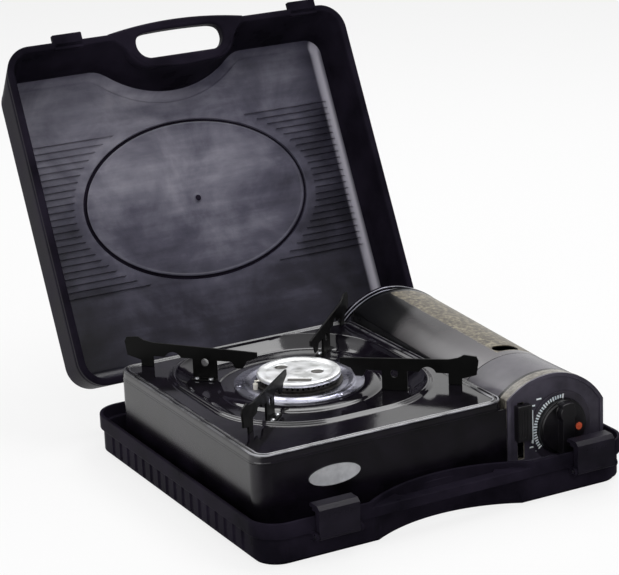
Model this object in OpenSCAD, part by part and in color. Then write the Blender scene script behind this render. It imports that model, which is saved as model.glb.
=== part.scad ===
/* [Carry case] */
// Width of the case
case_w = 362; // [352:1:400]
// Depth of the tray, front to back
case_d = 340; // [334:1:380]
// Height of the tray
base_h = 38; // [34:1:44]
// Depth of the lid
lid_h = 54; // [44:1:80]
// How much shorter than the tray the lid is, front to back
lid_short = 12; // [8:1:20]
// Angle between the open lid and the shut one
lid_open = 116; // [100:1:118]
// Radius of the case's corners in plan
case_r = 26; // [20:1:34]
// Thickness of the tray's walls and floor
case_wall = 3; // [2.4:0.2:3.4]
// Thickness of the lid's rim and side walls
lid_rim = 7; // [5:0.5:8]
// Height at which the tray's upper band begins
band_z = 24; // [20:1:27]
// Step from the upper band in to the ribbed wall
band_step = 3; // [1:0.5:3.5]
// Spacing of the upright ribs on the tray's sides
rib_pitch = 16; // [10:1:30]
// Half width of the finger bay in the tray's front
bay_half = 80; // [60:1:88]
// How far the finger bay goes in
bay_deep = 25; // [15:1:26]
// Thickness of the tray's grip bar, front to back
grip_t = 11; // [8:0.5:13]

/* [Latches] */
// Place of the left latch, from the middle
latch_left_x = -114; // [-130:1:-108]
// Place of the right latch, clear of the knob
latch_right_x = 138; // [110:1:140]
// Width of a latch
latch_w = 38; // [24:1:42]

/* [Stove] */
// Width of the stove
stove_w = 339; // [336:1:342]
// Depth of the stove
stove_d = 270; // [266:1:276]
// Height of the top plate above the ground
plate_top = 85; // [82:0.5:92]
// Width of the top plate
plate_w = 240; // [236:1:244]
// Gap between the tray's front and the stove's front
stove_front_gap = 31.5; // [29:0.5:34]
// Thickness of the sheet steel
sheet = 1.2; // [0.8:0.1:1.6]
// Depth of the dished well in the top plate
well_deep = 8.5; // [5:0.5:10]
// Width of the well
well_w = 194; // [180:1:200]
// Depth of the well, front to back
well_d = 218; // [200:1:224]
// Corner radius of the well
well_r = 75; // [50:1:84]

/* [Burner] */
// Radius of the burner cap
cap_r = 37.5; // [32:0.5:40]
// Height of the cap above the top plate
cap_above = 5; // [3:0.5:7]
// Number of flame ports
ports = 48; // [24:1:60]
// Reach of the pan supports from the burner's axis
support_reach = 163; // [140:1:166]
// Height of the pan supports above the top plate
support_above = 22; // [18:1:28]
// Thickness of a pan support
support_t = 1.8; // [1.2:0.1:2.5]

/* [Cartridge side] */
// Radius of the cover at its front end
cover_r_front = 63.8; // [60:0.2:66]
// Radius of the cover at its rear end
cover_r_rear = 72; // [64:0.5:74]
// Thickness of the cover
cover_t = 1.4; // [1:0.1:2]
// Length of the knob housing
housing_len = 64; // [56:1:72]
// Diameter of the cartridge that the bay takes
cartridge_d = 68; // [66:0.5:69]
// How far the cradle slides when the lever locks
cradle_slide = 6; // [4:0.5:8]
// How far the lever travels
lever_travel = 18; // [12:1:20]

/* [Knob] */
// Radius of the control knob
knob_r = 24; // [20:0.5:26]
// Length of the knob's grip out from its disc
knob_grip = 9; // [6:0.5:12]
// Radius of the valve shaft
shaft_r = 3; // [2.5:0.1:4]

/* [Hidden] */
$fn = 72;

// small shared clearances
eps = 0.01;
run_gap = 0.3;
bore_gap = 0.06;

// carry case
case_front = -case_d / 2;
case_back = case_d / 2;
foot_step = 3;
foot_h = 3;
bay_r = (bay_half * bay_half + bay_deep * bay_deep) / (2 * bay_deep);
bay_y = case_front + bay_deep - bay_r;
grip_h = 9;
rib_groove = 5;
rib_cut = 1.2;
rib_low = 5;
rib_high = 3;

// lid, worked out in its shut place and then turned open
hinge_back = 9.2;
hinge_up = 4.5;
hinge_y = case_back + hinge_back;
hinge_z = base_h + hinge_up;
hinge_pin_r = 2;
knuckle_r = 4.6;
knuckle_l = 18;
knuckle_x = 105;
rim_t = 6;
lid_len = case_d - lid_short;
lid_front = case_back - lid_len;
lid_top = base_h + lid_h;
lid_panel_t = 3;
lid_draft = 3.5;
lid_slope = 30;
lid_edge_r = 10;
lid_bay_y = lid_front - 50;
lid_bay_low = 84;
lid_bay_high = 102;
slot_w = 90;
slot_low = lid_front + 32;
slot_high = lid_front + 4;
slot_r = 13;
arch_w = 150;
arch_rise = 7;
arch_r = (arch_w * arch_w / 4 + arch_rise * arch_rise) / (2 * arch_rise);
handle_t = 12;
oval_x = 116;
oval_y = 76;
oval_mid = 6;
oval_groove = 3.4;
oval_cut = 1.2;
panel_rib_pitch = 10;
panel_rib_w = 4;
panel_rib_h = 0.8;
panel_rib_out = 160;
catch_out = 7;

// latches
latch_t = 5;
latch_pin_z = 22;
latch_pin_y = case_front - 4.5;
latch_pin_r = 1.5;
latch_barrel_r = 3.6;
latch_top = base_h + rim_t + 4;
latch_hook_in = 6;
ear_t = 3;

// stove
stove_aside = 1.8;
stove_left = stove_aside - stove_w / 2;
stove_right = stove_left + stove_w;
stove_front = case_front + stove_front_gap;
stove_back = stove_front + stove_d;
stove_mid_x = (stove_left + stove_right) / 2;
stove_mid_y = (stove_front + stove_back) / 2;
stove_r = 14;
foot_top = case_wall + 7;
plate_right = stove_left + plate_w;
plate_mid_x = (stove_left + plate_right) / 2;
skirt_h = 7;
skirt_lip = 1.2;
bay_wall_z = plate_top - 25;
well_slope = 5;
well_x = stove_left + 123.7;
well_y = stove_mid_y + 18.5;
well_z = plate_top - well_deep;

// burner
burner_x = stove_left + 125.8;
burner_y = stove_mid_y + 24.4;
cap_top = plate_top + cap_above;
collar_hole_r = 47;
ring_h = 2.4;
collar_r = 58;
burner_screw_r = 54.5;
electrode_r = 2.2;
electrode_x = burner_x - 41.5;
electrode_y = burner_y + 4;
burner_screw_angles = [163, 283, 43];

// pan supports: radius from the burner's axis, and height
support_top = plate_top + support_above;
support_tip = 38;
support_bump = 6;
foot_w = 8;
foot_t = 1.2;
inner_leg = 76;
inner_leg_w = 23;
outer_leg = 136;
outer_leg_w = 12;
bar_low = support_top - 12;
rivet_r = 1.3;

// cartridge side
cover_x = stove_right - 55.8;
cover_z = plate_top - 48.7;
housing_back = stove_front + housing_len;
housing_low = foot_top + 13;
housing_t = 2;
cover_front = housing_back + 0.6;
bulkhead_t = 6;
cover_rear = stove_back - bulkhead_t - 0.6;
cover_len = cover_rear - cover_front;
cover_left = plate_right + 1.2;
cover_right = stove_right - 1.6;
cover_low = bay_wall_z + 4;
cover_pin_x = stove_right - 6.2;
cover_pin_z = bay_wall_z + 7;
cover_pin_r = 1.5;
cover_knuckle_r = 3.4;
cover_knuckle_l = 14;
cover_web_down = 5.6;
cartridge_x = stove_right - 52.3;
cradle_r = cartridge_d / 2 + 1.2;
cradle_t = 1.2;
cartridge_z = foot_top + sheet + run_gap + cradle_r + cradle_t;
finger_x = stove_right - 47.3;
finger_y = housing_back + 16.5;
cradle_front = housing_back + cradle_slide + 6;
cradle_rear = stove_back - 34;

// controls
knob_x = stove_right - 44.3;
knob_z = plate_top - 33.5;
knob_base_t = 5;
shaft_out = 10.5;
knob_back = stove_front - 0.4;
lever_x = plate_right + 14.7;
lever_w = 14;
lever_z = plate_top - 38;
lever_h = 32;
lever_t = 7;
lever_back = stove_front - run_gap;
lever_rib_pitch = 2.6;
tab_w = 6;
tab_l = 12;
tab_in = 6;
marker_out = 15;
marker_down = 2;
marker_r = 3.2;

module rrect(w, d, r) {
    square([w - 2 * r, d], center = true);
    square([w, d - 2 * r], center = true);
    for (sx = [-1, 1], sy = [-1, 1])
        translate([sx * (w / 2 - r), sy * (d / 2 - r)]) circle(r);
}

function ellipse(a, b, n) = [for (i = [0 : n - 1]) [a * cos(360 * i / n), b * sin(360 * i / n)]];

// a bar along X, from its middle
module x_cyl(r, l) {
    rotate([0, 90, 0]) cylinder(r = r, h = l, center = true);
}

// a bar along Y, from y0 to y1
module y_cyl(r, y0, y1) {
    translate([0, y1, 0]) rotate([90, 0, 0]) cylinder(r = r, h = y1 - y0);
}

/* ---- carry case ---- */

module tray_plan(inset, bay_add) {
    difference() {
        rrect(case_w - 2 * inset, case_d - 2 * inset, case_r - inset);
        translate([0, bay_y]) circle(bay_r + bay_add, $fn = 180);
    }
}

module tray_walls() {
    linear_extrude(foot_h) tray_plan(band_step + foot_step, 0);
    translate([0, 0, foot_h - eps]) linear_extrude(band_z - foot_h + 2 * eps) tray_plan(band_step, 0);
    translate([0, 0, band_z]) linear_extrude(base_h - band_z) tray_plan(0, 0);
    translate([-bay_half - 4, case_front, band_z]) cube([2 * bay_half + 8, grip_t, grip_h]);
}

module tray_hollow() {
    translate([0, 0, case_wall])
        linear_extrude(band_z) tray_plan(band_step + case_wall, case_wall);
    translate([0, 0, band_z + case_wall])
        linear_extrude(base_h) tray_plan(case_wall, case_wall);
}

module side_grooves() {
    n = floor((case_d - 2 * case_r - 10) / rib_pitch / 2);
    for (sx = [-1, 1], i = [-n : n])
        translate([sx * (case_w / 2 - band_step), i * rib_pitch, (rib_low + band_z - rib_high) / 2])
            cube([2 * rib_cut, rib_groove, band_z - rib_high - rib_low], center = true);
}

module latch_ears(x) {
    for (s = [-1, 1]) translate([x + s * (latch_w / 2 + ear_t / 2 + run_gap), 0, 0]) {
        translate([0, latch_pin_y, latch_pin_z]) x_cyl(latch_barrel_r, ear_t);
        translate([-ear_t / 2, latch_pin_y, latch_pin_z - latch_barrel_r])
            cube([ear_t, case_front + case_wall - latch_pin_y, 2 * latch_barrel_r]);
    }
}

// three of the five knuckles of one hinge, or the other two
module knuckles(kinds, r) {
    for (s = [-1, 1], k = kinds)
        translate([s * knuckle_x + k * (knuckle_l + run_gap), hinge_y, hinge_z]) x_cyl(r, knuckle_l);
}

module tray_knuckle_webs() {
    for (s = [-1, 1], k = [-1, 1])
        translate([s * knuckle_x + k * (knuckle_l + run_gap) - knuckle_l / 2, 0, 0])
            rotate([90, 0, 90]) linear_extrude(knuckle_l)
                polygon([[case_back - 1, hinge_z - 18], [case_back - 1, base_h], [case_back + 1, base_h],
                         [hinge_y - 3, hinge_z + 3], [hinge_y + knuckle_r - 0.4, hinge_z - 2]]);
}

module case_base() {
    color("#242426") difference() {
        union() {
            difference() {
                tray_walls();
                tray_hollow();
                side_grooves();
            }
            latch_ears(latch_left_x);
            latch_ears(latch_right_x);
            knuckles([-1, 1], knuckle_r);
            tray_knuckle_webs();
        }
        knuckles([-1.5, -1, 0, 1, 1.5], hinge_pin_r + bore_gap);
        for (x = [latch_left_x, latch_right_x])
            translate([x, latch_pin_y, latch_pin_z]) x_cyl(latch_pin_r + bore_gap, latch_w + 20);
    }
}

// rounded disc for the corners of the lid's dome
module puck(r, f) {
    rotate_extrude($fn = 32) {
        square([r - f, f]);
        intersection() {
            translate([r - f, 0]) circle(f, $fn = 32);
            square([r, f]);
        }
    }
}

// a dome between a rim outline and a smaller, rounded top
module dome(inset, z0, z1, f) {
    x0 = case_w / 2 - inset;
    r0 = case_r - inset;
    x1 = x0 - lid_draft;
    r1 = r0 - 2;
    hull() {
        for (sx = [-1, 1], y = [lid_front + inset + r0, case_back - inset - r0])
            translate([sx * (x0 - r0), y, z0]) cylinder(r = r0, h = 1, $fn = 32);
        for (sx = [-1, 1], y = [lid_front + inset + lid_slope + r1, case_back - inset - lid_draft - r1])
            translate([sx * (x1 - r1), y, z1 - f]) puck(r1, f);
    }
}

module lid_bay(add, z0, z1) {
    translate([0, lid_bay_y, z0])
        cylinder(r1 = lid_bay_low + add, r2 = lid_bay_high + add, h = z1 - z0, $fn = 96);
}

module rim_plate() {
    translate([0, (case_back + lid_front) / 2, base_h]) linear_extrude(rim_t) rrect(case_w, lid_len, case_r);
}

module handle_plan() {
    intersection() {
        translate([0, lid_front - arch_rise + arch_r]) circle(arch_r, $fn = 180);
        translate([0, (slot_low + lid_front) / 2 - 4])
            square([arch_w + 9, slot_low - lid_front + 20], center = true);
    }
}

module slot_plan() {
    intersection() {
        translate([0, slot_high + arch_r]) circle(arch_r, $fn = 180);
        translate([0, (slot_low + slot_high) / 2 - 4]) rrect(slot_w, slot_low - slot_high + 8, slot_r);
    }
}

module panel_ribs() {
    z = lid_top - lid_panel_t - panel_rib_h;
    for (i = [-11 : 11]) {
        y = oval_mid + 10 + i * panel_rib_pitch;
        k = (y - oval_mid) / (oval_y + 10);
        inner = abs(k) < 1 ? (oval_x + 10) * sqrt(1 - k * k) : 0;
        for (s = [-1, 1]) if (inner + 14 < panel_rib_out && inner > 60)
            translate([s * (inner + panel_rib_out) / 2, y, z + panel_rib_h / 2 + 0.5])
                cube([panel_rib_out - inner, panel_rib_w, panel_rib_h + 1], center = true);
    }
}

module oval_groove() {
    translate([0, oval_mid, lid_top - lid_panel_t - 1]) linear_extrude(oval_cut + 1) difference() {
        polygon(ellipse(oval_x, oval_y, 96));
        polygon(ellipse(oval_x - oval_groove, oval_y - oval_groove, 96));
    }
}

module lid_catches() {
    for (x = [latch_left_x, latch_right_x])
        translate([x - latch_w / 2 + 4, lid_front - catch_out, base_h])
            cube([latch_w - 8, catch_out + 12, rim_t]);
}

module lid_knuckle_webs() {
    for (s = [-1, 1])
        translate([s * knuckle_x - knuckle_l / 2, case_back - lid_rim, base_h])
            cube([knuckle_l, hinge_back + lid_rim, rim_t + 2]);
}

module lid_shut() {
    difference() {
        union() {
            difference() {
                union() {
                    difference() {
                        dome(0, base_h + 1, lid_top, lid_edge_r);
                        lid_bay(0, base_h + rim_t - 0.5, lid_top + 2);
                    }
                    rim_plate();
                    linear_extrude(base_h + handle_t) handle_plan();
                }
                translate([-case_w, -case_d, -1]) cube([2 * case_w, 2 * case_d, base_h + 1]);
                difference() {
                    dome(lid_rim, base_h - 0.5, lid_top - lid_panel_t, lid_edge_r - 3);
                    lid_bay(4, base_h - 1, lid_top + 1);
                }
                translate([0, 0, base_h - 1]) linear_extrude(lid_h) slot_plan();
                oval_groove();
            }
            panel_ribs();
            lid_catches();
            lid_knuckle_webs();
            knuckles([0], knuckle_r);
        }
        knuckles([-1, 0, 1], hinge_pin_r + bore_gap);
        knuckles([-1, 1], knuckle_r + run_gap);
    }
}

module open_lid() {
    translate([0, hinge_y, hinge_z]) rotate([-lid_open, 0, 0]) translate([0, -hinge_y, -hinge_z]) children();
}

module case_lid() {
    color("#3a3942") open_lid() lid_shut();
}

module lid_hinge_pins() {
    color("#8a8d92") for (s = [-1, 1])
        translate([s * knuckle_x, hinge_y, hinge_z]) x_cyl(hinge_pin_r, 3 * knuckle_l + 2 * run_gap);
}

module latch(x) {
    difference() {
        translate([x - latch_w / 2, 0, 0]) union() {
            translate([latch_w / 2, latch_pin_y, latch_pin_z]) x_cyl(latch_barrel_r, latch_w);
            rotate([90, 0, 90]) linear_extrude(latch_w)
                polygon([[latch_pin_y - latch_barrel_r, latch_pin_z - 2],
                         [latch_pin_y + latch_barrel_r - 0.4, latch_pin_z],
                         [case_front - run_gap - 0.5, latch_pin_z + 6],
                         [case_front - run_gap - 0.5, base_h + rim_t - 2],
                         [lid_front - catch_out - 0.4, base_h + rim_t - 2],
                         [lid_front - catch_out - 0.4, base_h + rim_t + 0.4],
                         [lid_front - catch_out + latch_hook_in - 2, base_h + rim_t + 0.4],
                         [lid_front - catch_out + latch_hook_in - 2, latch_top - 1.5],
                         [lid_front - catch_out + latch_hook_in - 4, latch_top],
                         [case_front - latch_t + 1, latch_top],
                         [case_front - latch_t - 3, latch_top - 3],
                         [case_front - latch_t - 2, latch_pin_z + 8]]);
        }
        translate([x, latch_pin_y, latch_pin_z]) x_cyl(latch_pin_r + bore_gap, latch_w + 10);
        for (i = [-2 : 2])
            translate([x + i * 5, case_front - latch_t - 3.4, (base_h + latch_top) / 2 - 8])
                cube([2, 2, 12], center = true);
    }
}

module latch_left() {
    color("#2a2a2c") latch(latch_left_x);
}

module latch_right() {
    color("#2a2a2c") latch(latch_right_x);
}

module latch_pins() {
    color("#8a8d92") for (x = [latch_left_x, latch_right_x])
        translate([x, latch_pin_y, latch_pin_z]) x_cyl(latch_pin_r, latch_w + 2 * ear_t + 2 * run_gap);
}

/* ---- stove shell ---- */

module stove_plan(inset) {
    translate([stove_mid_x, stove_mid_y]) rrect(stove_w - 2 * inset, stove_d - 2 * inset, stove_r - inset);
}

module stove_body() {
    color("#1b1b1d") difference() {
        union() {
            pan_shell();
            // knuckles for the cover's hinge, on webs from the right wall
            cover_knuckle_spots([-1, 1]) {
                y_cyl(cover_knuckle_r, 0, cover_knuckle_l);
                translate([-2, 0, -cover_web_down - 1.4]) cube([3.4, cover_knuckle_l, cover_web_down - 0.6]);
                translate([-2, 0, -cover_web_down - 5.4])
                    cube([stove_right - cover_pin_x + 2, cover_knuckle_l, 5.4]);
            }
        }
        cover_knuckle_spots([-1, 1]) y_cyl(cover_pin_r + bore_gap, -2, cover_knuckle_l + 2);
    }
}

module pan_shell() {
    difference() {
        translate([0, 0, foot_top]) linear_extrude(plate_top - skirt_h - foot_top - run_gap) stove_plan(0);
        translate([0, 0, foot_top + sheet]) linear_extrude(plate_top) stove_plan(sheet);
        // open above the cartridge bay, and at the front where the knob housing stands
        translate([plate_right, stove_front - 1, bay_wall_z]) cube([stove_w, stove_d + 2, plate_top]);
        translate([cover_left - 0.9, stove_front - 1, foot_top + 12])
            cube([stove_w, housing_len + 1 + run_gap, plate_top]);
        translate([plate_right + run_gap, stove_back - bulkhead_t - run_gap, foot_top + 12])
            cube([stove_w, bulkhead_t + 2, plate_top]);
    }
}

feet_in_x = 34;
feet_in_y = 30;
feet_r = 9.5;
feet_round = 3;

module stove_feet() {
    color("#151515") for (sx = [-1, 1], sy = [-1, 1])
        translate([stove_mid_x + sx * (stove_w / 2 - feet_in_x), stove_mid_y + sy * (stove_d / 2 - feet_in_y),
                   case_wall]) {
            cylinder(r1 = feet_r - feet_round / 2, r2 = feet_r, h = feet_round);
            translate([0, 0, feet_round - eps])
                cylinder(r = feet_r, h = foot_top - case_wall - feet_round + eps);
        }
}

// the dished well between a top outline and a smaller floor outline
module well_loft(drop, grow, above) {
    hull() {
        translate([well_x, well_y, plate_top - 0.2 - drop]) linear_extrude(0.2 + above)
            rrect(well_w + 2 * grow, well_d + 2 * grow, well_r + grow);
        translate([well_x, well_y, well_z - drop]) linear_extrude(0.2)
            rrect(well_w - 2 * well_slope + 2 * grow, well_d - 2 * well_slope + 2 * grow,
                  well_r - well_slope + grow);
    }
}

module well_ring(low, grow) {
    translate([burner_x, burner_y, well_z - low]) rotate_extrude()
        polygon([[0, 0], [72, 0], [72, low], [70, low + 1.6], [62, low + ring_h], [0, low + ring_h]]);
}

// a raised line round an outline, from outset to inset
module bead(w, d, r, out, h) {
    linear_extrude(h) difference() {
        rrect(w + 2 * out, d + 2 * out, r + out);
        rrect(w, d, r);
    }
}

module top_plate() {
    plate_d = stove_d + 2 * skirt_lip;
    color("#101012") difference() {
        union() {
            // cap with a turned-down skirt
            difference() {
                translate([plate_mid_x, stove_mid_y, plate_top - skirt_h])
                    linear_extrude(skirt_h) rrect(plate_w, plate_d, stove_r + 1);
                translate([plate_mid_x, stove_mid_y, plate_top - skirt_h - 1])
                    linear_extrude(skirt_h + 1 - sheet)
                        rrect(plate_w - 2 * sheet, plate_d - 2 * sheet, stove_r + 1 - sheet);
            }
            // beads along the skirt, the plate's edge and the well's edge
            translate([plate_mid_x, stove_mid_y, plate_top - skirt_h])
                bead(plate_w - 1, plate_d - 1, stove_r + 0.5, 1.1, 1.6);
            translate([plate_mid_x, stove_mid_y, plate_top - eps])
                bead(plate_w - 7, plate_d - 7, stove_r - 2.5, 2.4, 1);
            translate([well_x, well_y, plate_top - eps]) bead(well_w, well_d, well_r, 5, 1.4);
            translate([well_x, well_y, plate_top - eps]) bead(well_w, well_d, well_r, 3, 2.4);
            well_loft(sheet, sheet, 0);
        }
        difference() {
            well_loft(0, 0, 4);
            well_ring(1, 0);
        }
        translate([burner_x, burner_y, 0]) cylinder(r = collar_hole_r, h = 2 * plate_top);
        support_holes() cylinder(r = rivet_r + bore_gap, h = 20, center = true);
        for (a = burner_screw_angles) translate([burner_x, burner_y, 0]) rotate(a)
            translate([burner_screw_r, 0, 0]) cylinder(r = 1.5 + bore_gap, h = 2 * plate_top);
    }
}

module heat_shield() {
    color("#9a9da1") difference() {
        translate([plate_right + 0.2, housing_back + 8, foot_top + sheet])
            cube([0.8, cover_len - 10, plate_top - skirt_h - foot_top - sheet - 0.5]);
        for (i = [0 : 5]) translate([plate_right, housing_back + 60 + i * 18, 46])
            cube([10, 9, 5], center = true);
    }
}

// half-round section of the cartridge side, cut off at its left
module arc_plan(r) {
    intersection() {
        translate([cover_x, cover_z]) circle(r, $fn = 120);
        translate([cover_left, cover_low]) square([cover_right - cover_left, 2 * r]);
    }
}

// stands a drawing of X and Z up, running from y0 to y1
module stand(y0, y1) {
    translate([0, y1, 0]) rotate([90, 0, 0]) linear_extrude(y1 - y0) children();
}

module housing_plan(inset) {
    translate([cover_left + inset, housing_low + inset])
        square([stove_right - cover_left - 2 * inset, cover_low + 1 - housing_low - 2 * inset]);
    intersection() {
        translate([cover_x, cover_z]) circle(cover_r_front - inset, $fn = 120);
        translate([cover_left + inset, cover_low - 2])
            square([stove_right - cover_left - 2 * inset, 2 * cover_r_front]);
    }
}

module end_housing() {
    color("#1a1a1c") difference() {
        union() {
            stand(stove_front, housing_back) housing_plan(0);
            // bead along the front edge
            stand(stove_front - 1.5, stove_front + 4) difference() {
                housing_plan(-0.6);
                housing_plan(3);
            }
        }
        stand(stove_front + 2.4, housing_back + 1) housing_plan(housing_t);
        tube_axis() translate([0, 0, 100]) cylinder(r = 8, h = tube_len);
        // shaft hole and lever slot
        translate([knob_x, 0, knob_z]) y_cyl(shaft_r + bore_gap, stove_front - 5, stove_front + 20);
        translate([lever_x - tab_w / 2 - 0.4, stove_front - 5, lever_z - lever_travel - 1])
            cube([tab_w + 0.8, tab_l, lever_h + lever_travel + 2]);
    }
}

module rear_bulkhead() {
    color("#1a1a1c") {
        stand(stove_back - bulkhead_t, stove_back) {
            intersection() {
                translate([cover_x, cover_z]) circle(cover_r_rear + 0.5, $fn = 120);
                translate([cover_left, cover_low - 2]) square([stove_right - cover_left, 2 * cover_r_rear]);
            }
            translate([cover_left, foot_top + 12.3])
                square([stove_right - cover_left, cover_low - foot_top - 12]);
        }
    }
}

badge_x = stove_left + 71.2;
badge_z = plate_top - 28.5;
badge_a = 24;
badge_b = 8.6;
badge_rim = 1.3;
badge_t = 1.2;

module front_badge() {
    color("#d8dadd") translate([badge_x, stove_front, badge_z]) rotate([90, 0, 0]) {
        linear_extrude(badge_t) polygon(ellipse(badge_a, badge_b, 72));
        linear_extrude(badge_t + 0.4) difference() {
            polygon(ellipse(badge_a, badge_b, 72));
            polygon(ellipse(badge_a - badge_rim, badge_b - badge_rim, 72));
        }
    }
}

/* ---- burner and pan supports ---- */

module support_profile() {
    difference() {
        polygon([[support_tip, support_top - 3], [support_tip + 20, support_top - 2],
                 [outer_leg, support_top + 1],
                 [outer_leg + 9, support_top + 3], [outer_leg + 14, support_top + support_bump],
                 [support_reach - 2, support_top + support_bump - 1], [support_reach, support_top + 1],
                 [support_reach - 2, bar_low], [outer_leg + outer_leg_w, bar_low - 4],
                 [outer_leg + outer_leg_w, plate_top + 0.1], [outer_leg, plate_top + 0.1],
                 [outer_leg, bar_low], [inner_leg + inner_leg_w, bar_low],
                 [inner_leg + inner_leg_w, well_z + foot_t], [inner_leg, well_z + foot_t],
                 [inner_leg, bar_low - 1], [support_tip + 24, bar_low - 1],
                 [support_tip + 21, cap_top - 2], [support_tip + 14, cap_top - 2],
                 [support_tip + 10, bar_low], [support_tip, bar_low + 4]]);
        translate([(outer_leg + inner_leg + inner_leg_w) / 2, bar_low - 3]) circle(8);
        translate([inner_leg + inner_leg_w / 2, bar_low - 3]) circle(3.5);
    }
}

// rivet places along each support's inner foot
rivet_spots = [inner_leg + 5, inner_leg + inner_leg_w - 5];

module support_holes() {
    for (a = [45 : 90 : 315], r = rivet_spots)
        translate([burner_x, burner_y, well_z]) rotate(a) translate([r, foot_w / 2, 0]) children();
}

module pan_support(a) {
    color("#161616") translate([burner_x, burner_y, 0]) rotate(a) {
        translate([0, support_t / 2, 0]) rotate([90, 0, 0]) linear_extrude(support_t) support_profile();
        difference() {
            translate([inner_leg, -support_t / 2, well_z + eps]) cube([inner_leg_w, foot_w, foot_t]);
            for (r = rivet_spots)
                translate([r, foot_w / 2, well_z]) cylinder(r = rivet_r + bore_gap, h = 10, center = true);
        }
    }
}

module pan_support_front_left() {
    pan_support(225);
}

module pan_support_front_right() {
    pan_support(315);
}

module pan_support_back_left() {
    pan_support(135);
}

module pan_support_back_right() {
    pan_support(45);
}

module support_rivets() {
    color("#c9ccd0") support_holes() translate([0, 0, foot_t]) {
        rotate_extrude() polygon([[0, 0.02], [2.6, 0.02], [2.3, 0.9], [1.4, 1.4], [0, 1.6]]);
        translate([0, 0, -foot_t - sheet - 1]) cylinder(r = rivet_r, h = foot_t + sheet + 1.1);
    }
}

module burner_bowl() {
    color("#b9bbbd") translate([burner_x, burner_y, 0]) difference() {
        rotate_extrude() polygon([[0, cap_top - 38], [16, cap_top - 38], [18, cap_top - 24],
                                  [30, cap_top - 16], [34, cap_top - 10.3], [0, cap_top - 10.3]]);
        translate([0, 0, cap_top - 34]) rotate_extrude()
            polygon([[0, 0], [12, 0], [14, 10], [27, 18], [30, 30], [0, 30]]);
        rotate(tube_angle) translate([10, 0, cap_top - 30]) rotate([0, 90, 0]) cylinder(r = 6.1, h = 20);
    }
}

module burner_port_ring() {
    color("#8f9194") translate([burner_x, burner_y, 0]) difference() {
        rotate_extrude() polygon([[28, cap_top - 10.2], [cap_r + 1.5, cap_top - 10.2],
                                  [cap_r + 1.5, cap_top - 8.6], [cap_r - 1.5, cap_top - 8],
                                  [cap_r - 1.5, cap_top - 4.1], [28, cap_top - 4.1]]);
        for (i = [0 : ports - 1]) rotate(i * 360 / ports)
            translate([cap_r - 4, 0, cap_top - 5.2]) cube([9, 2, 3], center = true);
    }
}

module burner_cap() {
    color("#d9dadb") translate([burner_x, burner_y, 0]) difference() {
        rotate_extrude() polygon([[0, cap_top - 4], [cap_r, cap_top - 4], [cap_r, cap_top - 1.5],
                                  [cap_r - 1.5, cap_top], [cap_r - 6, cap_top - 0.4],
                                  [cap_r - 9, cap_top - 1.2], [8, cap_top - 1.2], [5, cap_top - 0.2],
                                  [0, cap_top - 0.2]]);
        for (a = [65 : 120 : 305]) rotate(a) translate([18, 0, cap_top - 2]) cylinder(r = 4.4, h = 3);
    }
}

module burner_collar() {
    color("#c8cbce") difference() {
        translate([burner_x, burner_y, well_z]) rotate_extrude() polygon(
            [[34.3, 2.9], [34.3, 1.6], [44.6, 1.6], [collar_hole_r - 0.4, ring_h + eps],
             [collar_r, ring_h + eps], [collar_r, ring_h + 1], [50.4, ring_h + 1], [49.5, ring_h + 2.6],
             [48, ring_h + 2.6], [44, 2.9]]);
        for (a = burner_screw_angles) translate([burner_x, burner_y, 0]) rotate(a)
            translate([burner_screw_r, 0, 0]) cylinder(r = 1.5 + bore_gap, h = 2 * plate_top);
        translate([electrode_x, electrode_y, 0]) cylinder(r = electrode_r + run_gap, h = 2 * plate_top);
    }
}

module burner_screws() {
    color("#d5d7da") for (a = burner_screw_angles)
        translate([burner_x, burner_y, well_z + ring_h + 1]) rotate(a) translate([burner_screw_r, 0, 0]) {
            difference() {
                rotate_extrude() polygon([[0, 0.05], [2.9, 0.05], [2.7, 1], [1.8, 1.6], [0, 1.8]]);
                translate([0, 0, 1.7]) cube([4, 0.7, 1], center = true);
                translate([0, 0, 1.7]) cube([0.7, 4, 1], center = true);
            }
            translate([0, 0, -6]) cylinder(r = 1.5, h = 6.1);
        }
}

// gas valve and its socket, stacked forward from the back of the housing
socket_l = 8;
socket_r = 20;
socket_bore = 8;
socket_slot = 6;
socket_back = housing_back - 2;
socket_front = socket_back - socket_l;
valve_l = 18;
regulator_r = 21;
valve_back = socket_front - 8;
valve_front = valve_back - valve_l;
stem_r = 9;
stem_front = valve_front - 14;
jet_block_w = 12;
jet_r = 3.4;
jet_l = 14;

// line from the burner's axis to the valve
tube_z = cap_top - 30;
jet_x = cartridge_x - 27;
jet_y = (valve_front + valve_back) / 2;
tube_angle = atan2(jet_y - burner_y, jet_x - burner_x);
jet_far = norm([jet_y - burner_y, jet_x - burner_x]);
tube_len = jet_far - 11;
tube_start = 14;
tube_r = 6;
tube_end_r = 7.2;
tube_end_l = 30;
air_r = 2.6;

module tube_axis() {
    translate([burner_x, burner_y, tube_z]) rotate(tube_angle) rotate([0, 90, 0]) children();
}

module mixing_tube() {
    color("#a9abad") tube_axis() difference() {
        union() {
            translate([0, 0, tube_start]) cylinder(r = tube_r, h = tube_len - tube_end_l);
            translate([0, 0, 2 * tube_start]) cylinder(r1 = tube_r + 2.5, r2 = tube_r, h = 26);
            translate([0, 0, tube_len - tube_end_l]) cylinder(r = tube_end_r, h = tube_end_l);
        }
        translate([0, 0, tube_start - 1]) cylinder(r = tube_r - 1.4, h = tube_len);
        // air holes
        translate([0, 0, tube_len - tube_end_l + 12]) rotate([90, 0, 0])
            cylinder(r = air_r, h = 40, center = true);
    }
}

/* ---- cartridge side ---- */

module cover_cone(add) {
    translate([cover_x, cover_front, cover_z]) rotate([-90, 0, 0])
        cylinder(r1 = cover_r_front + add, r2 = cover_r_rear + add, h = cover_len, $fn = 120);
}

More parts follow.
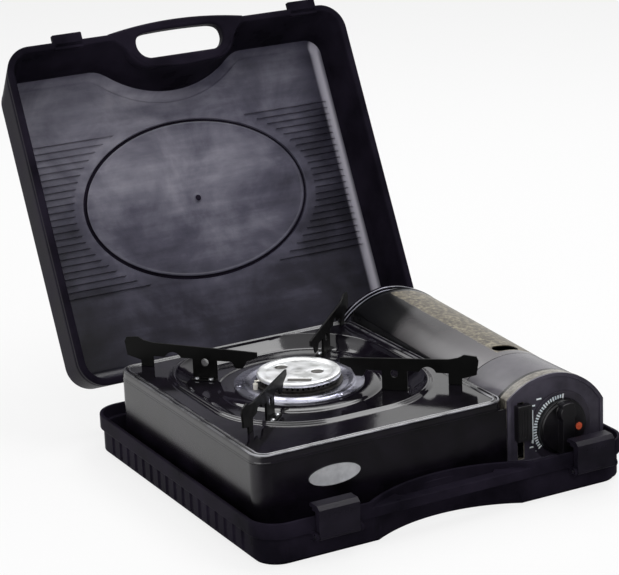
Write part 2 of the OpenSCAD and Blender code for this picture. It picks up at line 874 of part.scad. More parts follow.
module cover_box(inset, low) {
    translate([cover_left + inset, cover_front - 1, low])
        cube([cover_right - cover_left - 2 * inset, cover_len + 2, 2 * cover_r_rear]);
}

module cover_knuckle_spots(ks) {
    for (s = [-1, 1], k = ks)
        translate([cover_pin_x, (cover_front + cover_rear) / 2 + s * (cover_len / 2 - 30)
                   + k * (cover_knuckle_l + run_gap) - cover_knuckle_l / 2, cover_pin_z]) children();
}

module cartridge_cover() {
    color("#3b3a41") difference() {
        union() {
            difference() {
                intersection() {
                    cover_cone(0);
                    cover_box(0, cover_low);
                }
                difference() {
                    intersection() {
                        cover_cone(-cover_t);
                        cover_box(cover_t, cover_low - 1);
                    }
                }
            }
            cover_knuckle_spots([0]) {
                y_cyl(cover_knuckle_r, 0, cover_knuckle_l);
                translate([-1.5, 0, -cover_knuckle_r + 0.6]) cube([5.6, cover_knuckle_l, cover_knuckle_r]);
            }
        }
        cover_knuckle_spots([0]) y_cyl(cover_pin_r + bore_gap, -2, cover_knuckle_l + 2);
        translate([finger_x, finger_y, cover_z]) linear_extrude(100) {
            circle(6.5);
            translate([-6, 0]) circle(6.5);
            translate([6, 0]) circle(6.5);
            square([12, 13], center = true);
        }
        cover_knuckle_spots([-1, 1]) translate([-7, -run_gap, -8])
            cube([16, cover_knuckle_l + 2 * run_gap, 14.5]);
    }
}

module cover_hinge_pins() {
    color("#8a8d92") cover_knuckle_spots([0])
        y_cyl(cover_pin_r, -cover_knuckle_l, 2 * cover_knuckle_l);
}

module cartridge_cradle() {
    color("#b5b7b9") difference() {
        union() {
            stand(cradle_front, cradle_rear) difference() {
                translate([cartridge_x, cartridge_z]) circle(cradle_r + cradle_t, $fn = 96);
                translate([cartridge_x, cartridge_z]) circle(cradle_r, $fn = 96);
                translate([cartridge_x - 60, cartridge_z - 14]) square([120, 90]);
            }
            // push plate behind the cartridge
            stand(cradle_rear - 1.2, cradle_rear) intersection() {
                translate([cartridge_x, cartridge_z]) circle(cradle_r + cradle_t, $fn = 96);
                translate([cartridge_x - 60, cartridge_z - 60]) square([120, 46]);
            }
        }
        translate([cartridge_x, (cradle_front + cradle_rear) / 2, cartridge_z - cradle_r])
            cube([16, cradle_rear - cradle_front - 40, 10], center = true);
    }
}

module regulator() {
    color("#a4a6a8") {
        translate([cartridge_x, 0, cartridge_z]) y_cyl(regulator_r, valve_front, valve_back);
        translate([cartridge_x, 0, cartridge_z]) y_cyl(socket_r - 6, valve_back - 0.1, socket_front);
        translate([knob_x, 0, knob_z]) y_cyl(stem_r, stem_front, valve_front + 0.1);
        // outlet block with the jet that points into the mixing tube
        translate([jet_x - 5, jet_y - jet_block_w / 2, cartridge_z - jet_block_w / 2])
            cube([jet_block_w + 2, jet_block_w, tube_z - cartridge_z + jet_block_w]);
        tube_axis() translate([0, 0, jet_far - jet_l]) cylinder(r = jet_r, h = jet_l);
        // foot on the housing's floor
        translate([cartridge_x - 10, valve_front + 2, housing_low + housing_t + 0.1])
            cube([20, valve_l - 4, 12]);
    }
}

module cartridge_socket() {
    color("#7d7f82") translate([cartridge_x, 0, cartridge_z]) difference() {
        union() {
            y_cyl(socket_r, socket_front, socket_back);
            y_cyl(socket_r + 2, socket_back - 2, socket_back);
        }
        y_cyl(socket_bore, socket_front - 1, socket_back + 1);
        y_cyl(socket_r - 4, socket_front + 3, socket_back + 1);
        // slot that the cartridge's notch is turned to
        translate([-socket_slot / 2, socket_front - 1, socket_r - 8])
            cube([socket_slot, socket_l + 2, socket_r]);
    }
}

/* ---- controls ---- */

module control_shaft() {
    color("#b9bbbd") translate([knob_x, 0, knob_z])
        y_cyl(shaft_r, knob_back - shaft_out, stem_front - run_gap);
}

module control_knob() {
    color("#1c1c1e") translate([knob_x, knob_back, knob_z]) difference() {
        union() {
            y_cyl(knob_r, -knob_base_t, 0);
            y_cyl(knob_r - 2, -knob_base_t - 1.5, -1);
            // grip bar with a round head
            intersection() {
                y_cyl(knob_r - 0.5, -knob_base_t - knob_grip, -1);
                translate([-6, -40, -knob_r]) cube([12, 40, 2 * knob_r]);
            }
            translate([0, 0, knob_r - 10]) y_cyl(8, -knob_base_t - knob_grip, -1);
        }
        y_cyl(shaft_r + 0.02, -shaft_out - 0.5, 1);
    }
}

module knob_marker() {
    color("#d8502a") translate([knob_x + marker_out, knob_back - knob_base_t - 1.5, knob_z - marker_down])
        y_cyl(marker_r, -0.8, 0);
}

module dial_ring() {
    color("#2a2a2c") translate([knob_x, 0, knob_z]) difference() {
        y_cyl(knob_r + 7, stove_front - 1.2, stove_front);
        y_cyl(knob_r + 0.6, stove_front - 2, stove_front + 1);
        translate([-60, stove_front - 3, housing_low + 3.3 - knob_z - 60]) cube([120, 6, 60]);
    }
}

module cartridge_lever() {
    color("#2a2a2c") {
        difference() {
            translate([lever_x - lever_w / 2, lever_back - lever_t, lever_z])
                cube([lever_w, lever_t, lever_h]);
            for (i = [-2 : 1])
                translate([lever_x + i * lever_rib_pitch, lever_back - lever_t, lever_z + lever_h / 2])
                    cube([1, 1.4, lever_h - 6], center = true);
        }
        translate([lever_x - tab_w / 2, lever_back - 1, lever_z + tab_in])
            cube([tab_w, tab_l, lever_h - 2 * tab_in]);
    }
}

// igniter, behind the lever's tab at its lowest
igniter_w = 11;
igniter_x = plate_right + 13.5;
igniter_z = housing_low + housing_t + 0.2 + igniter_w / 2;
igniter_front = lever_back - 1 + tab_l + 1.3;
igniter_back = igniter_front + 26;
igniter_end = igniter_back + 6;

module igniter() {
    color("#e8e6df") {
        translate([igniter_x - igniter_w / 2, igniter_front, igniter_z - igniter_w / 2])
            cube([igniter_w, igniter_back - igniter_front, igniter_w]);
        translate([igniter_x, 0, igniter_z]) y_cyl(3, igniter_back - 0.1, igniter_end);
    }
}

module ignition_electrode() {
    color("#ece9e2") translate([electrode_x, electrode_y, 0]) {
        translate([0, 0, well_z - 18]) cylinder(r = electrode_r, h = 26);
        translate([0, 0, well_z + 7.9]) cylinder(r = 0.9, h = 3);
        translate([0, 0, well_z + 10]) rotate([0, 90, 0]) cylinder(r = 0.9, h = 4);
    }
}

lead_r = 1.3;
lead_z = foot_top + sheet + lead_r + 0.2;
lead_y = housing_back + 4;

// the lead lies on the floor of the body pan between the igniter and the electrode
module ignition_lead() {
    color("#c8c4b8") {
        translate([igniter_x, 0, igniter_z]) y_cyl(lead_r, igniter_end + 0.05, lead_y + lead_r);
        translate([igniter_x, lead_y, lead_z - lead_r])
            cylinder(r = lead_r + 0.1, h = igniter_z - lead_z + lead_r);
        translate([(electrode_x + igniter_x) / 2, lead_y, lead_z])
            x_cyl(lead_r, igniter_x - electrode_x + 2 * lead_r);
        translate([electrode_x, 0, lead_z]) y_cyl(lead_r + 0.1, lead_y, electrode_y + lead_r);
        translate([electrode_x, electrode_y, lead_z - 1]) cylinder(r = lead_r, h = well_z - 17.05 - lead_z);
    }
}

case_base();
case_lid();
lid_hinge_pins();
latch_left();
latch_right();
latch_pins();
stove_body();
stove_feet();
top_plate();
heat_shield();
end_housing();
rear_bulkhead();
front_badge();
pan_support_front_left();
pan_support_front_right();
pan_support_back_left();
pan_support_back_right();
support_rivets();
burner_bowl();
burner_port_ring();
burner_cap();
burner_collar();
burner_screws();
mixing_tube();
cartridge_cover();
cover_hinge_pins();
cartridge_cradle();
regulator();
cartridge_socket();
control_shaft();
control_knob();
knob_marker();
dial_ring();
cartridge_lever();
igniter();
ignition_electrode();
ignition_lead();
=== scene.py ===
# %% [markdown]
# A butane cassette stove in its open carry case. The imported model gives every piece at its
# real size and place, in metres. This script dresses those pieces: it gives each its real
# finish, and it rebuilds the shells whose soft edges and pressed beads catch the light.

import math

import bmesh
import bpy
import numpy as np
from mathutils import Matrix, Vector


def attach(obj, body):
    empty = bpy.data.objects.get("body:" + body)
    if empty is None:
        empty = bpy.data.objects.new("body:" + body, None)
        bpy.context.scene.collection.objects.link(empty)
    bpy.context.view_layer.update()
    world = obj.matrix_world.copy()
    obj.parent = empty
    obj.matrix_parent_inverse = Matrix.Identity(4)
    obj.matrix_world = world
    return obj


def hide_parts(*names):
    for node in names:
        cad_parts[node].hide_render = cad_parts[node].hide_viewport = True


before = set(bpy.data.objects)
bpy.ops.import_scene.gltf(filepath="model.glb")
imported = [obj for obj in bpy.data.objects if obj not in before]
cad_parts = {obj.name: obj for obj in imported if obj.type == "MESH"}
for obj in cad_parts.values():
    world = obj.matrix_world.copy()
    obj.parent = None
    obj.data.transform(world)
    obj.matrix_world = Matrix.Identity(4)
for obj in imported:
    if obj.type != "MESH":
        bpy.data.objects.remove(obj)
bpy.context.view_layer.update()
print("pieces in the frame:", len(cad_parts))

MM = 0.001


def linked(name, data):
    """A new object in the scene."""
    made = bpy.data.objects.new(name, data)
    bpy.context.scene.collection.objects.link(made)
    return made


def mesh_of(name, points, faces=()):
    """A mesh of points in metres."""
    mesh = bpy.data.meshes.new(name)
    mesh.from_pydata([tuple(p) for p in points], [], faces)
    return mesh


# %% [markdown]
# The camera. Its place was found by matching the case, the stove's top plate and the lid to
# the photograph: it stands to the left of the front, a little above, about two metres away,
# with a long lens, so parallel edges stay almost parallel.

# %% Camera
IMAGE_WIDTH = 619
SENSOR_MM = 36.0
FOCAL_PX = 2429.3
VIEW_AZIMUTH = math.radians(27.97)
VIEW_ELEVATION = math.radians(17.28)
VIEW_ROLL = math.radians(-2.39)
VIEW_DISTANCE = 2.1052
LOOK_AT = Vector((-0.0413, -0.0015, 0.1755))
SHIFT_X, SHIFT_Y = 0.0031, -0.0061

back = Vector((-math.sin(VIEW_AZIMUTH) * math.cos(VIEW_ELEVATION),
               -math.cos(VIEW_AZIMUTH) * math.cos(VIEW_ELEVATION),
               math.sin(VIEW_ELEVATION)))
right = (-back).cross(Vector((0, 0, 1))).normalized()
up = right.cross(-back)
cam_x = math.cos(VIEW_ROLL) * right + math.sin(VIEW_ROLL) * up
cam_y = -math.sin(VIEW_ROLL) * right + math.cos(VIEW_ROLL) * up

lens = bpy.data.cameras.new("camera")
lens.sensor_width = SENSOR_MM
lens.lens = FOCAL_PX * SENSOR_MM / IMAGE_WIDTH
lens.shift_x, lens.shift_y = SHIFT_X, SHIFT_Y
camera = linked("camera", lens)
camera.matrix_world = Matrix((cam_x, cam_y, back)).transposed().to_4x4()
camera.location = LOOK_AT + back * VIEW_DISTANCE
bpy.context.scene.camera = camera
print("lens, mm:", round(lens.lens, 1))

# %% [markdown]
# Material helpers. `add` puts one node in a tree, with its settings and its links. Colours are
# written as sRGB hex, the way a paint chart gives them, and `rgb` turns them to linear. Patterns
# have real sizes: `blotches` holds the noise settings that make patches so many millimetres
# across, and `span` those that take one range of values to another.

# %% Material helpers


def rgb(hex_colour):
    """sRGB hex to a linear RGBA colour."""
    values = [int(hex_colour[i:i + 2], 16) / 255 for i in (1, 3, 5)]
    return tuple(v / 12.92 if v <= 0.04045 else ((v + 0.055) / 1.055) ** 2.4 for v in values) + (1.0,)


def add(tree, kind, settings=None):
    """Adds a node. Each setting is a property or an input of it. A node or an output given for one is linked
    in, a hex colour is turned to linear, and "stops" are the (place, hex colour) pairs of a colour ramp."""
    node = tree.nodes.new(kind)
    for key, value in (settings or {}).items():
        if isinstance(value, bpy.types.Node):
            value = next(output for output in value.outputs if output.enabled)
        if key == "stops":
            marks = node.color_ramp.elements
            while len(marks) < len(value):
                marks.new(0.5)
            for mark, (at, colour) in zip(marks, value):
                mark.position, mark.color = at, rgb(colour)
        elif isinstance(value, bpy.types.NodeSocket):
            tree.links.new(value, node.inputs[key])
        elif isinstance(key, str) and hasattr(node, key):
            setattr(node, key, value)
        else:
            is_hex = isinstance(value, str) and value.startswith("#")
            node.inputs[key].default_value = rgb(value) if is_hex else value
    return node


def blotches(size_mm, detail=3.0, rough=0.55):
    """Noise settings for patches about size_mm across."""
    return {"Scale": 1 / (size_mm * MM), "Detail": detail, "Roughness": rough}


def span(low, high, out_low, out_high):
    """Map Range settings that take low..high to out_low..out_high."""
    return {"From Min": low, "From Max": high, "To Min": out_low, "To Max": out_high}


def surface(name, settings, skin):
    """A new material with one shader. skin(tree, here) adds its patterns, where here is the place on the
    piece in metres, and gives what drives the shader's sockets."""
    material = bpy.data.materials.new(name)
    material.use_nodes = True
    tree = material.node_tree
    tree.nodes.clear()
    here = add(tree, "ShaderNodeTexCoord").outputs["Object"]
    shader = add(tree, "ShaderNodeBsdfPrincipled", {**settings, **skin(tree, here)})
    add(tree, "ShaderNodeOutputMaterial", {"Surface": shader})
    return material


print("mid grey, linear:", round(rgb("#808080")[0], 3))

# %% [markdown]
# Most surfaces need the same three things from their making: a colour that wanders a little in
# patches, a polish that may wander with it, and a fine relief. `plain_skin` gives them, each at
# the real size of that surface. A finish with more to it calls `patches` and `relief` itself.

# %% Skins
WANDER = (0.3, 0.7)  # noise stays between these for nearly all of a surface


def patches(tree, here, size_mm, detail, stops, rough=0.55):
    """Colour that wanders in patches of a real size."""
    cloud = add(tree, "ShaderNodeTexNoise", {"Vector": here, **blotches(size_mm, detail, rough)})
    return add(tree, "ShaderNodeValToRGB", {"Fac": cloud, "stops": stops})


def relief(tree, here, size_mm, detail, deep_mm):
    """Fine ups and downs of a real size and depth."""
    fine = add(tree, "ShaderNodeTexNoise", {"Vector": here, **blotches(size_mm, detail)})
    return add(tree, "ShaderNodeBump", {"Height": fine, "Distance": deep_mm * MM, "Strength": 1.0})


def product(tree, *factors):
    """All the factors multiplied, as a mask that is 1 only where each of them is."""
    total = factors[0]
    for factor in factors[1:]:
        total = add(tree, "ShaderNodeMath", {"operation": "MULTIPLY", 0: total, 1: factor})
    return total


def plain_skin(low, high, cloud, fine, stops=WANDER, polish=None):
    """low and high: hex colours. cloud: size of the patches in mm and their detail. fine: size, detail and
    depth of the relief. polish: the two roughness values between which the surface wanders."""
    def skin(tree, here):
        patchy = add(tree, "ShaderNodeTexNoise", {"Vector": here, **blotches(*cloud)})
        stopped = list(zip(stops, (low, high)))
        drives = {"Base Color": add(tree, "ShaderNodeValToRGB", {"Fac": patchy, "stops": stopped}),
                  "Normal": relief(tree, here, *fine)}
        if polish:
            drives["Roughness"] = add(tree, "ShaderNodeMapRange", {"Value": patchy, **span(*WANDER, *polish)})
        return drives
    return skin


print("noise wanders between", *WANDER)

# %% [markdown]
# Moulded polypropylene. The whole case is one black plastic, a satin skin with the finest
# grain, a little violet where light falls on it. The lid's inner panel is the same plastic, drawn in pale
# violet as painted light because it faces the light, with the cloudy flow marks that a big thin moulding gets,
# a painted pool of light on its upper left, painted shade low down and at the sides, and a painted highlight
# down the right fillet. Those could be painted on a picture, but noise at the real size of the marks needs no
# picture and has no seam.

# %% Case plastics
LID_CLOUD_MM, LID_STREAK_MM, LID_GRAIN_MM, GRAIN_DEEP_MM = 62, 12, 1.4, 0.1
CLOUD_SHARE, STREAK_SHARE, STREAK_STRETCH = 0.72, 0.28, 0.16
# A painted pool of light on the panel's upper left: paler near it, darker far from it.
LIGHT_POOL_AT = (-0.055, 0.30, 0.245)
LIGHT_POOL_REACH, LIGHT_POOL_SHADE = (0.02, 0.24), (0.15, -0.12)
# A painted highlight down the right fillet, mixed in pale over this band of x.
FILLET_RISE, FILLET_FALL, FILLET_HIGHLIGHT = (0.1595, 0.1625), (0.1675, 0.1705), 0.8
# Painted shade: the panel darker low down and towards both sides.
LID_SHADING = [
    # coordinate, from and to in metres, and what the first and the last add to the tone, as painted shade
    ("Z", 0.06, 0.2, -0.17, 0),
    ("X", 0.06, 0.15, 0, -0.06),
    ("X", -0.15, -0.09, -0.05, 0),
]
# The panel's pale ramp is painted light on the case's black plastic.
LID_STOPS = [(0.1, "#14131b"), (0.28, "#2a2836"), (0.45, "#4a4858"), (0.6, "#6c6a78"), (0.76, "#8e8c98")]

case_skin = plain_skin("#131118", "#231f2a", (45, 4.0), (1.2, 2.0, GRAIN_DEEP_MM), (0.32, 0.68), (0.26, 0.4))


def lid_skin(tree, here):
    """Clouds and streaks from the flow, a painted pool of light on the upper left with painted shade away from it,
    painted shade low down and at the sides, and a painted highlight down the right fillet.
    """
    cloud = add(tree, "ShaderNodeTexNoise", {"Vector": here, "Distortion": 0.35, **blotches(LID_CLOUD_MM, 6.0, 0.6)})
    stretch = add(tree, "ShaderNodeMapping", {"Vector": here, "Scale": (STREAK_STRETCH, 1.0, 1.0)})
    streak = add(tree, "ShaderNodeTexNoise", {"Vector": stretch, **blotches(LID_STREAK_MM, 3.0, 0.6)})
    light_pool = add(tree, "ShaderNodeVectorMath", {"operation": "DISTANCE", 0: here, 1: LIGHT_POOL_AT})
    where = add(tree, "ShaderNodeSeparateXYZ", {"Vector": here}).outputs
    terms = [product(tree, streak, STREAK_SHARE),
             add(tree, "ShaderNodeMapRange", {"Value": light_pool, **span(*LIGHT_POOL_REACH, *LIGHT_POOL_SHADE)})]
    terms += [add(tree, "ShaderNodeMapRange", {"Value": where[axis], **span(*limits)}) for axis, *limits in LID_SHADING]
    shade = product(tree, cloud, CLOUD_SHARE)
    for term in terms:
        shade = add(tree, "ShaderNodeMath", {"operation": "ADD", 0: shade, 1: term})
    # The painted highlight down the right fillet.
    rise = add(tree, "ShaderNodeMapRange", {"Value": where["X"], **span(*FILLET_RISE, 0, 1)})
    fall = add(tree, "ShaderNodeMapRange", {"Value": where["X"], **span(*FILLET_FALL, 1, 0)})
    share = product(tree, rise, fall, FILLET_HIGHLIGHT)
    cloudy = add(tree, "ShaderNodeValToRGB", {"Fac": shade, "stops": LID_STOPS})
    return {"Base Color": add(tree, "ShaderNodeMix", {"data_type": "RGBA", 0: share, 6: cloudy, 7: "#b9b6c3"}),
            "Roughness": add(tree, "ShaderNodeMapRange", {"Value": cloud, **span(*WANDER, 0.34, 0.5)}),
            "Normal": relief(tree, here, LID_GRAIN_MM, 2.0, GRAIN_DEEP_MM)}


# The case: near black, and so dull that lamps leave no white spot on it.
black_polypropylene = surface("polypropylene_black_moulded", {"IOR": 1.49, "Specular IOR Level": 0.008}, case_skin)
# The latches: the same plastic, polished by fingers to a soft shine.
latch_plastic = surface("polypropylene_latch_moulded", {"IOR": 1.49, "Specular IOR Level": 0.12}, case_skin)
# The lid's panel: a full sheen because it faces the light, and pale violet clouds that are painted light on the black
# plastic.
lid_panel_plastic = surface("polypropylene_lid_moulded", {"IOR": 1.49}, lid_skin)
print("lid marks, mm:", LID_CLOUD_MM, LID_STREAK_MM, LID_GRAIN_MM)

# %% [markdown]
# Vitreous enamel on the pressed steel is glass fired on at 800 degrees. It is glossy and
# almost black, and its faint orange-peel waviness makes its reflections swim. Where the eye
# meets it at a low angle it turns pale, because glass reflects more at low angles. The real
# peel is finer and shallower; it is drawn as coarse as it needs to be to show here.

# %% Enamels
ORANGE_PEEL = (9, 2.0, 0.05)
DUST = (2.5, 3.0, 0.05)
BEAD_HIGHLIGHT_PATCH_MM, HIGHLIGHT_FRONT_Y = 16, (-0.128, -0.108)

enamel_skin = plain_skin("#09070c", "#17131c", (30, 3.0), ORANGE_PEEL, (0.35, 0.7))
matt_enamel_skin = plain_skin("#020202", "#060606", (12, 4.0), DUST, (0.35, 0.7), (0.34, 0.5))


def painted_bead_highlight(tree, here):
    """A painted highlight: a pale line along the bead crests, paler at the front and patchy along its length."""
    highlight_patches = add(tree, "ShaderNodeTexNoise", {"Vector": here, **blotches(BEAD_HIGHLIGHT_PATCH_MM)})
    y = add(tree, "ShaderNodeSeparateXYZ", {"Vector": here}).outputs["Y"]
    front = add(tree, "ShaderNodeMapRange", {"Value": y, **span(*HIGHLIGHT_FRONT_Y, 1, 0)})
    dim = add(tree, "ShaderNodeValToRGB", {"Fac": highlight_patches, "stops": [(0.35, "#0d0d0f"), (0.6, "#4c4c50")]})
    pale = add(tree, "ShaderNodeValToRGB", {"Fac": highlight_patches, "stops": [(0.3, "#48484c"), (0.6, "#98989e")]})
    return {"Base Color": add(tree, "ShaderNodeMix", {"data_type": "RGBA", 0: front, 6: dim, 7: pale}),
            "Roughness": add(tree, "ShaderNodeMapRange", {"Value": highlight_patches, **span(0.3, 0.6, 0.18, 0.34)})}


# The top plate: wet black glass, a mirror for the white room.
gloss_enamel = surface("enamel_black_gloss_fired", {"IOR": 1.55, "Roughness": 0.1}, enamel_skin)
# The crests of its beads: a pale line, a painted highlight that draws the plate's outline.
bead_highlight_enamel = surface("enamel_bead_painted_highlight", {"IOR": 1.55}, painted_bead_highlight)
# The stove's body: the same glass fired thinner, so its reflections are soft.
body_enamel = surface("enamel_body_semi_gloss", {"IOR": 1.5, "Roughness": 0.24, "Specular IOR Level": 0.4}, enamel_skin)
# The pan supports: matt and sooty, the deepest black of the stove.
support_enamel = surface("enamel_black_matt_fired", {"IOR": 1.45, "Specular IOR Level": 0.14}, matt_enamel_skin)
print("orange peel, mm:", ORANGE_PEEL[0], "across and", ORANGE_PEEL[2], "deep")

# %% [markdown]
# The cartridge side. The cover is painted in three parts: black at its back, a painted reflection
# of the dark lid; a smooth grey with a violet cast on the side of the burner, partly its paint and partly a
# painted sheen that is lighter towards the front; and a mottled beige-brown field on the outer side, here a
# plain mottle of no special pattern. Its inside keeps the dark primer. The knob housing carries the grey on,
# and ends in a pale strip, a painted highlight, with a black line behind it, a painted shadow gap. Each area
# could be cut out as its own faces, but a soft step on a coordinate needs no new edges.

# %% Cover paint
FIELD_LEFT_X, FIELD_FRONT_Y, FIELD_BACK_Y = 0.1125, -0.066, 0.119
MOTTLE_MM, MOTTLE_SHARE, LEAF_MM, LEAF_SHARE = 3.2, 0.85, 5.5, 0.25
EDGE_WANDER_MM, EDGE_WANDER, WANDER_SOFT = 6, 0.004, 0.001
HAZE_MM, GREY_SHEEN_Y = 38, (-0.07, 0.01)
BLACK_FROM_Y, BLACK_SOFT, BLACK_SLANT, SLANT_FROM_X = 0.055, 0.007, 0.55, 0.08
COVER_AXIS = (0.1155, 0.0, 0.0363)
COVER_ENDS_Y, MID_SHEET_R = (-0.0739, 0.1249), (0.0632, 0.0714)
EDGE_SOFT, SHEET_SOFT = 0.0006, 0.0002
FIELD_ROUGH, BLACK_SHINE = (0.22, 0.4), (0.38, 0.13)
PAINT_PEEL = (9, 2.0, 0.04)
FIELD_STOPS = [(0.38, "#231d15"), (0.48, "#453d2f"), (0.58, "#5f5746"), (0.7, "#8a826d")]


def above(tree, value, limit, soft=EDGE_SOFT):
    """1 where the value is over the limit, with a short soft step."""
    return add(tree, "ShaderNodeMapRange", {"Value": value, **span(limit - soft, limit + soft, 0.0, 1.0)})


def cover_skin(tree, here):
    where = add(tree, "ShaderNodeSeparateXYZ", {"Vector": here}).outputs
    x, y = where["X"], where["Y"]
    # The mottled field
    grain = add(tree, "ShaderNodeTexNoise", {"Vector": here, **blotches(MOTTLE_MM, 4.0, 0.7)})
    leaves = add(tree, "ShaderNodeTexVoronoi", {"Vector": here, "Scale": 1 / (LEAF_MM * MM), "Randomness": 1.0})
    grainy, leafy = product(tree, grain, MOTTLE_SHARE), product(tree, leaves, LEAF_SHARE)
    mottle = add(tree, "ShaderNodeMath", {"operation": "ADD", 0: grainy, 1: leafy})
    field = add(tree, "ShaderNodeValToRGB", {"Fac": mottle, "stops": FIELD_STOPS})
    wander = add(tree, "ShaderNodeTexNoise", {"Vector": here, **blotches(EDGE_WANDER_MM)})
    edge_x = add(tree, "ShaderNodeMath", {"operation": "ADD", 0: x, 1: product(tree, wander, EDGE_WANDER)})
    before_back = add(tree, "ShaderNodeMath", {"operation": "SUBTRACT", 0: 1.0, 1: above(tree, y, FIELD_BACK_Y)})
    right_of, behind = above(tree, edge_x, FIELD_LEFT_X, WANDER_SOFT), above(tree, y, FIELD_FRONT_Y)
    in_field = product(tree, right_of, behind, before_back)
    # The smooth grey, partly its paint and partly a painted sheen, lighter towards the front
    haze = add(tree, "ShaderNodeTexNoise", {"Vector": here, **blotches(HAZE_MM)})
    shaded = add(tree, "ShaderNodeValToRGB", {"Fac": haze, "stops": [(0.3, "#2b292b"), (0.7, "#3b383a")]})
    to_front = add(tree, "ShaderNodeMapRange", {"Value": y, **span(*GREY_SHEEN_Y, 1, 0)})
    grey = add(tree, "ShaderNodeMix", {"data_type": "RGBA", 0: to_front, 6: shaded, 7: "#615e61"})
    # The black end, a painted reflection of the dark lid, with its slanted front edge
    from_x = add(tree, "ShaderNodeMath", {"operation": "SUBTRACT", 0: x, 1: SLANT_FROM_X})
    slanted = add(tree, "ShaderNodeMath", {"operation": "SUBTRACT", 0: y, 1: product(tree, from_x, BLACK_SLANT)})
    off_field = add(tree, "ShaderNodeMath", {"operation": "SUBTRACT", 0: 1.0, 1: in_field})
    in_black = product(tree, above(tree, slanted, BLACK_FROM_Y, BLACK_SOFT), off_field)
    coat = add(tree, "ShaderNodeMix", {"data_type": "RGBA", 0: in_field, 6: grey, 7: field})
    coat = add(tree, "ShaderNodeMix", {"data_type": "RGBA", 0: in_black, 6: coat, 7: "#08080a"})
    # The primer inside: what lies nearer the cover's axis than the middle of its sheet
    away = add(tree, "ShaderNodeVectorMath", {"operation": "SUBTRACT", 0: here, 1: COVER_AXIS})
    across = add(tree, "ShaderNodeVectorMath", {"operation": "MULTIPLY", 0: away, 1: (1, 0, 1)})
    radius = add(tree, "ShaderNodeVectorMath", {"operation": "LENGTH", 0: across})
    mid_sheet = add(tree, "ShaderNodeMapRange", {"Value": y, **span(*COVER_ENDS_Y, *MID_SHEET_R)})
    over_mid = add(tree, "ShaderNodeMath", {"operation": "SUBTRACT", 0: radius, 1: mid_sheet})
    primer = add(tree, "ShaderNodeValToRGB", {"Fac": haze, "stops": [(0.3, "#1d1d1f"), (0.7, "#2c2c2e")]})
    outside = above(tree, over_mid, 0.0, SHEET_SOFT)
    return {"Base Color": add(tree, "ShaderNodeMix", {"data_type": "RGBA", 0: outside, 6: primer, 7: coat}),
            "Roughness": add(tree, "ShaderNodeMapRange", {"Value": in_field, **span(0, 1, *FIELD_ROUGH)}),
            "Specular IOR Level": add(tree, "ShaderNodeMapRange", {"Value": in_black, **span(0, 1, *BLACK_SHINE)}),
            "Normal": relief(tree, here, *PAINT_PEEL)}


# The cover: a smooth baked coat with soft reflections, rougher and warm where it is mottled.
cover_paint = surface("baked_paint_cover", {"IOR": 1.5}, cover_skin)
print("mottle, mm:", MOTTLE_MM, LEAF_MM)

# %% Housing paint
HOUSING_STOPS = {
    # name: (patches in mm, their detail, their roughness, ramp)
    # the beige is the pale strip's painted highlight
    "beige": (4, 4.0, 0.65, [(0.35, "#5f5b54"), (0.6, "#8a857c"), (0.8, "#aaa59b")]),
    "grey": (30, 3.0, 0.55, [(0.3, "#45434a"), (0.7, "#5d5a61")]),
    "face": (22, 3.0, 0.55, [(0.3, "#322f39"), (0.7, "#4a4653")]),
}
AREA_SOFT = 0.0003
BACK_TO_FRONT = [
    # the y in metres in front of which the next area starts, and its paint
    # a black line: a painted shadow gap
    (-0.1242, "#060607"),
    # the pale strip: a painted highlight
    (-0.1275, "beige"),
    (-0.1381, "face"),
]


def housing_skin(tree, here):
    y = add(tree, "ShaderNodeSeparateXYZ", {"Vector": here}).outputs["Y"]
    paints = {name: patches(tree, here, size, detail, stops, rough)
              for name, (size, detail, rough, stops) in HOUSING_STOPS.items()}
    coat = paints["grey"]
    for limit, paint in BACK_TO_FRONT:
        before = add(tree, "ShaderNodeMath", {"operation": "SUBTRACT", 0: 1.0, 1: above(tree, y, limit, AREA_SOFT)})
        coat = add(tree, "ShaderNodeMix", {"data_type": "RGBA", 0: before, 6: coat, 7: paints.get(paint, paint)})
    return {"Base Color": coat, "Normal": relief(tree, here, *PAINT_PEEL)}


# The housing: the cover's grey, with a violet face, a pale strip that is a painted highlight and a black line that is a
# painted shadow gap.
housing_enamel = surface("baked_paint_housing", {"IOR": 1.5, "Roughness": 0.24, "Specular IOR Level": 0.4},
                         housing_skin)
print("areas of the housing:", 1 + len(BACK_TO_FRONT))

# %% [markdown]
# Metals. The cap is aluminium with a fine matt skin, so it catches light from all over the
# sky and looks almost white. The collar is bright plated steel that has turned a little blue
# from heat; it is drawn bright at the front and dark behind, a painted reflection. The hidden
# fittings are cast or plain rolled metal. Rings and brush lines could be
# modelled, but they are far finer than a mesh, so they are relief and roughness.

# %% Turned aluminium
TURNING_MM, TURNING_DEEP_MM = 0.6, 0.004
WAVES_PER_RING = 6.3
TO_CAP_MIDDLE = (0.0419, -0.0209, 0)
SOOT_Z, INSIDE_RIM_R, SOOT_SHARE = (0.0881, 0.0889), (0.031, 0.033), 0.95
CAP_HAZE_MM, CAP_ROUGH = 14, (0.36, 0.48)


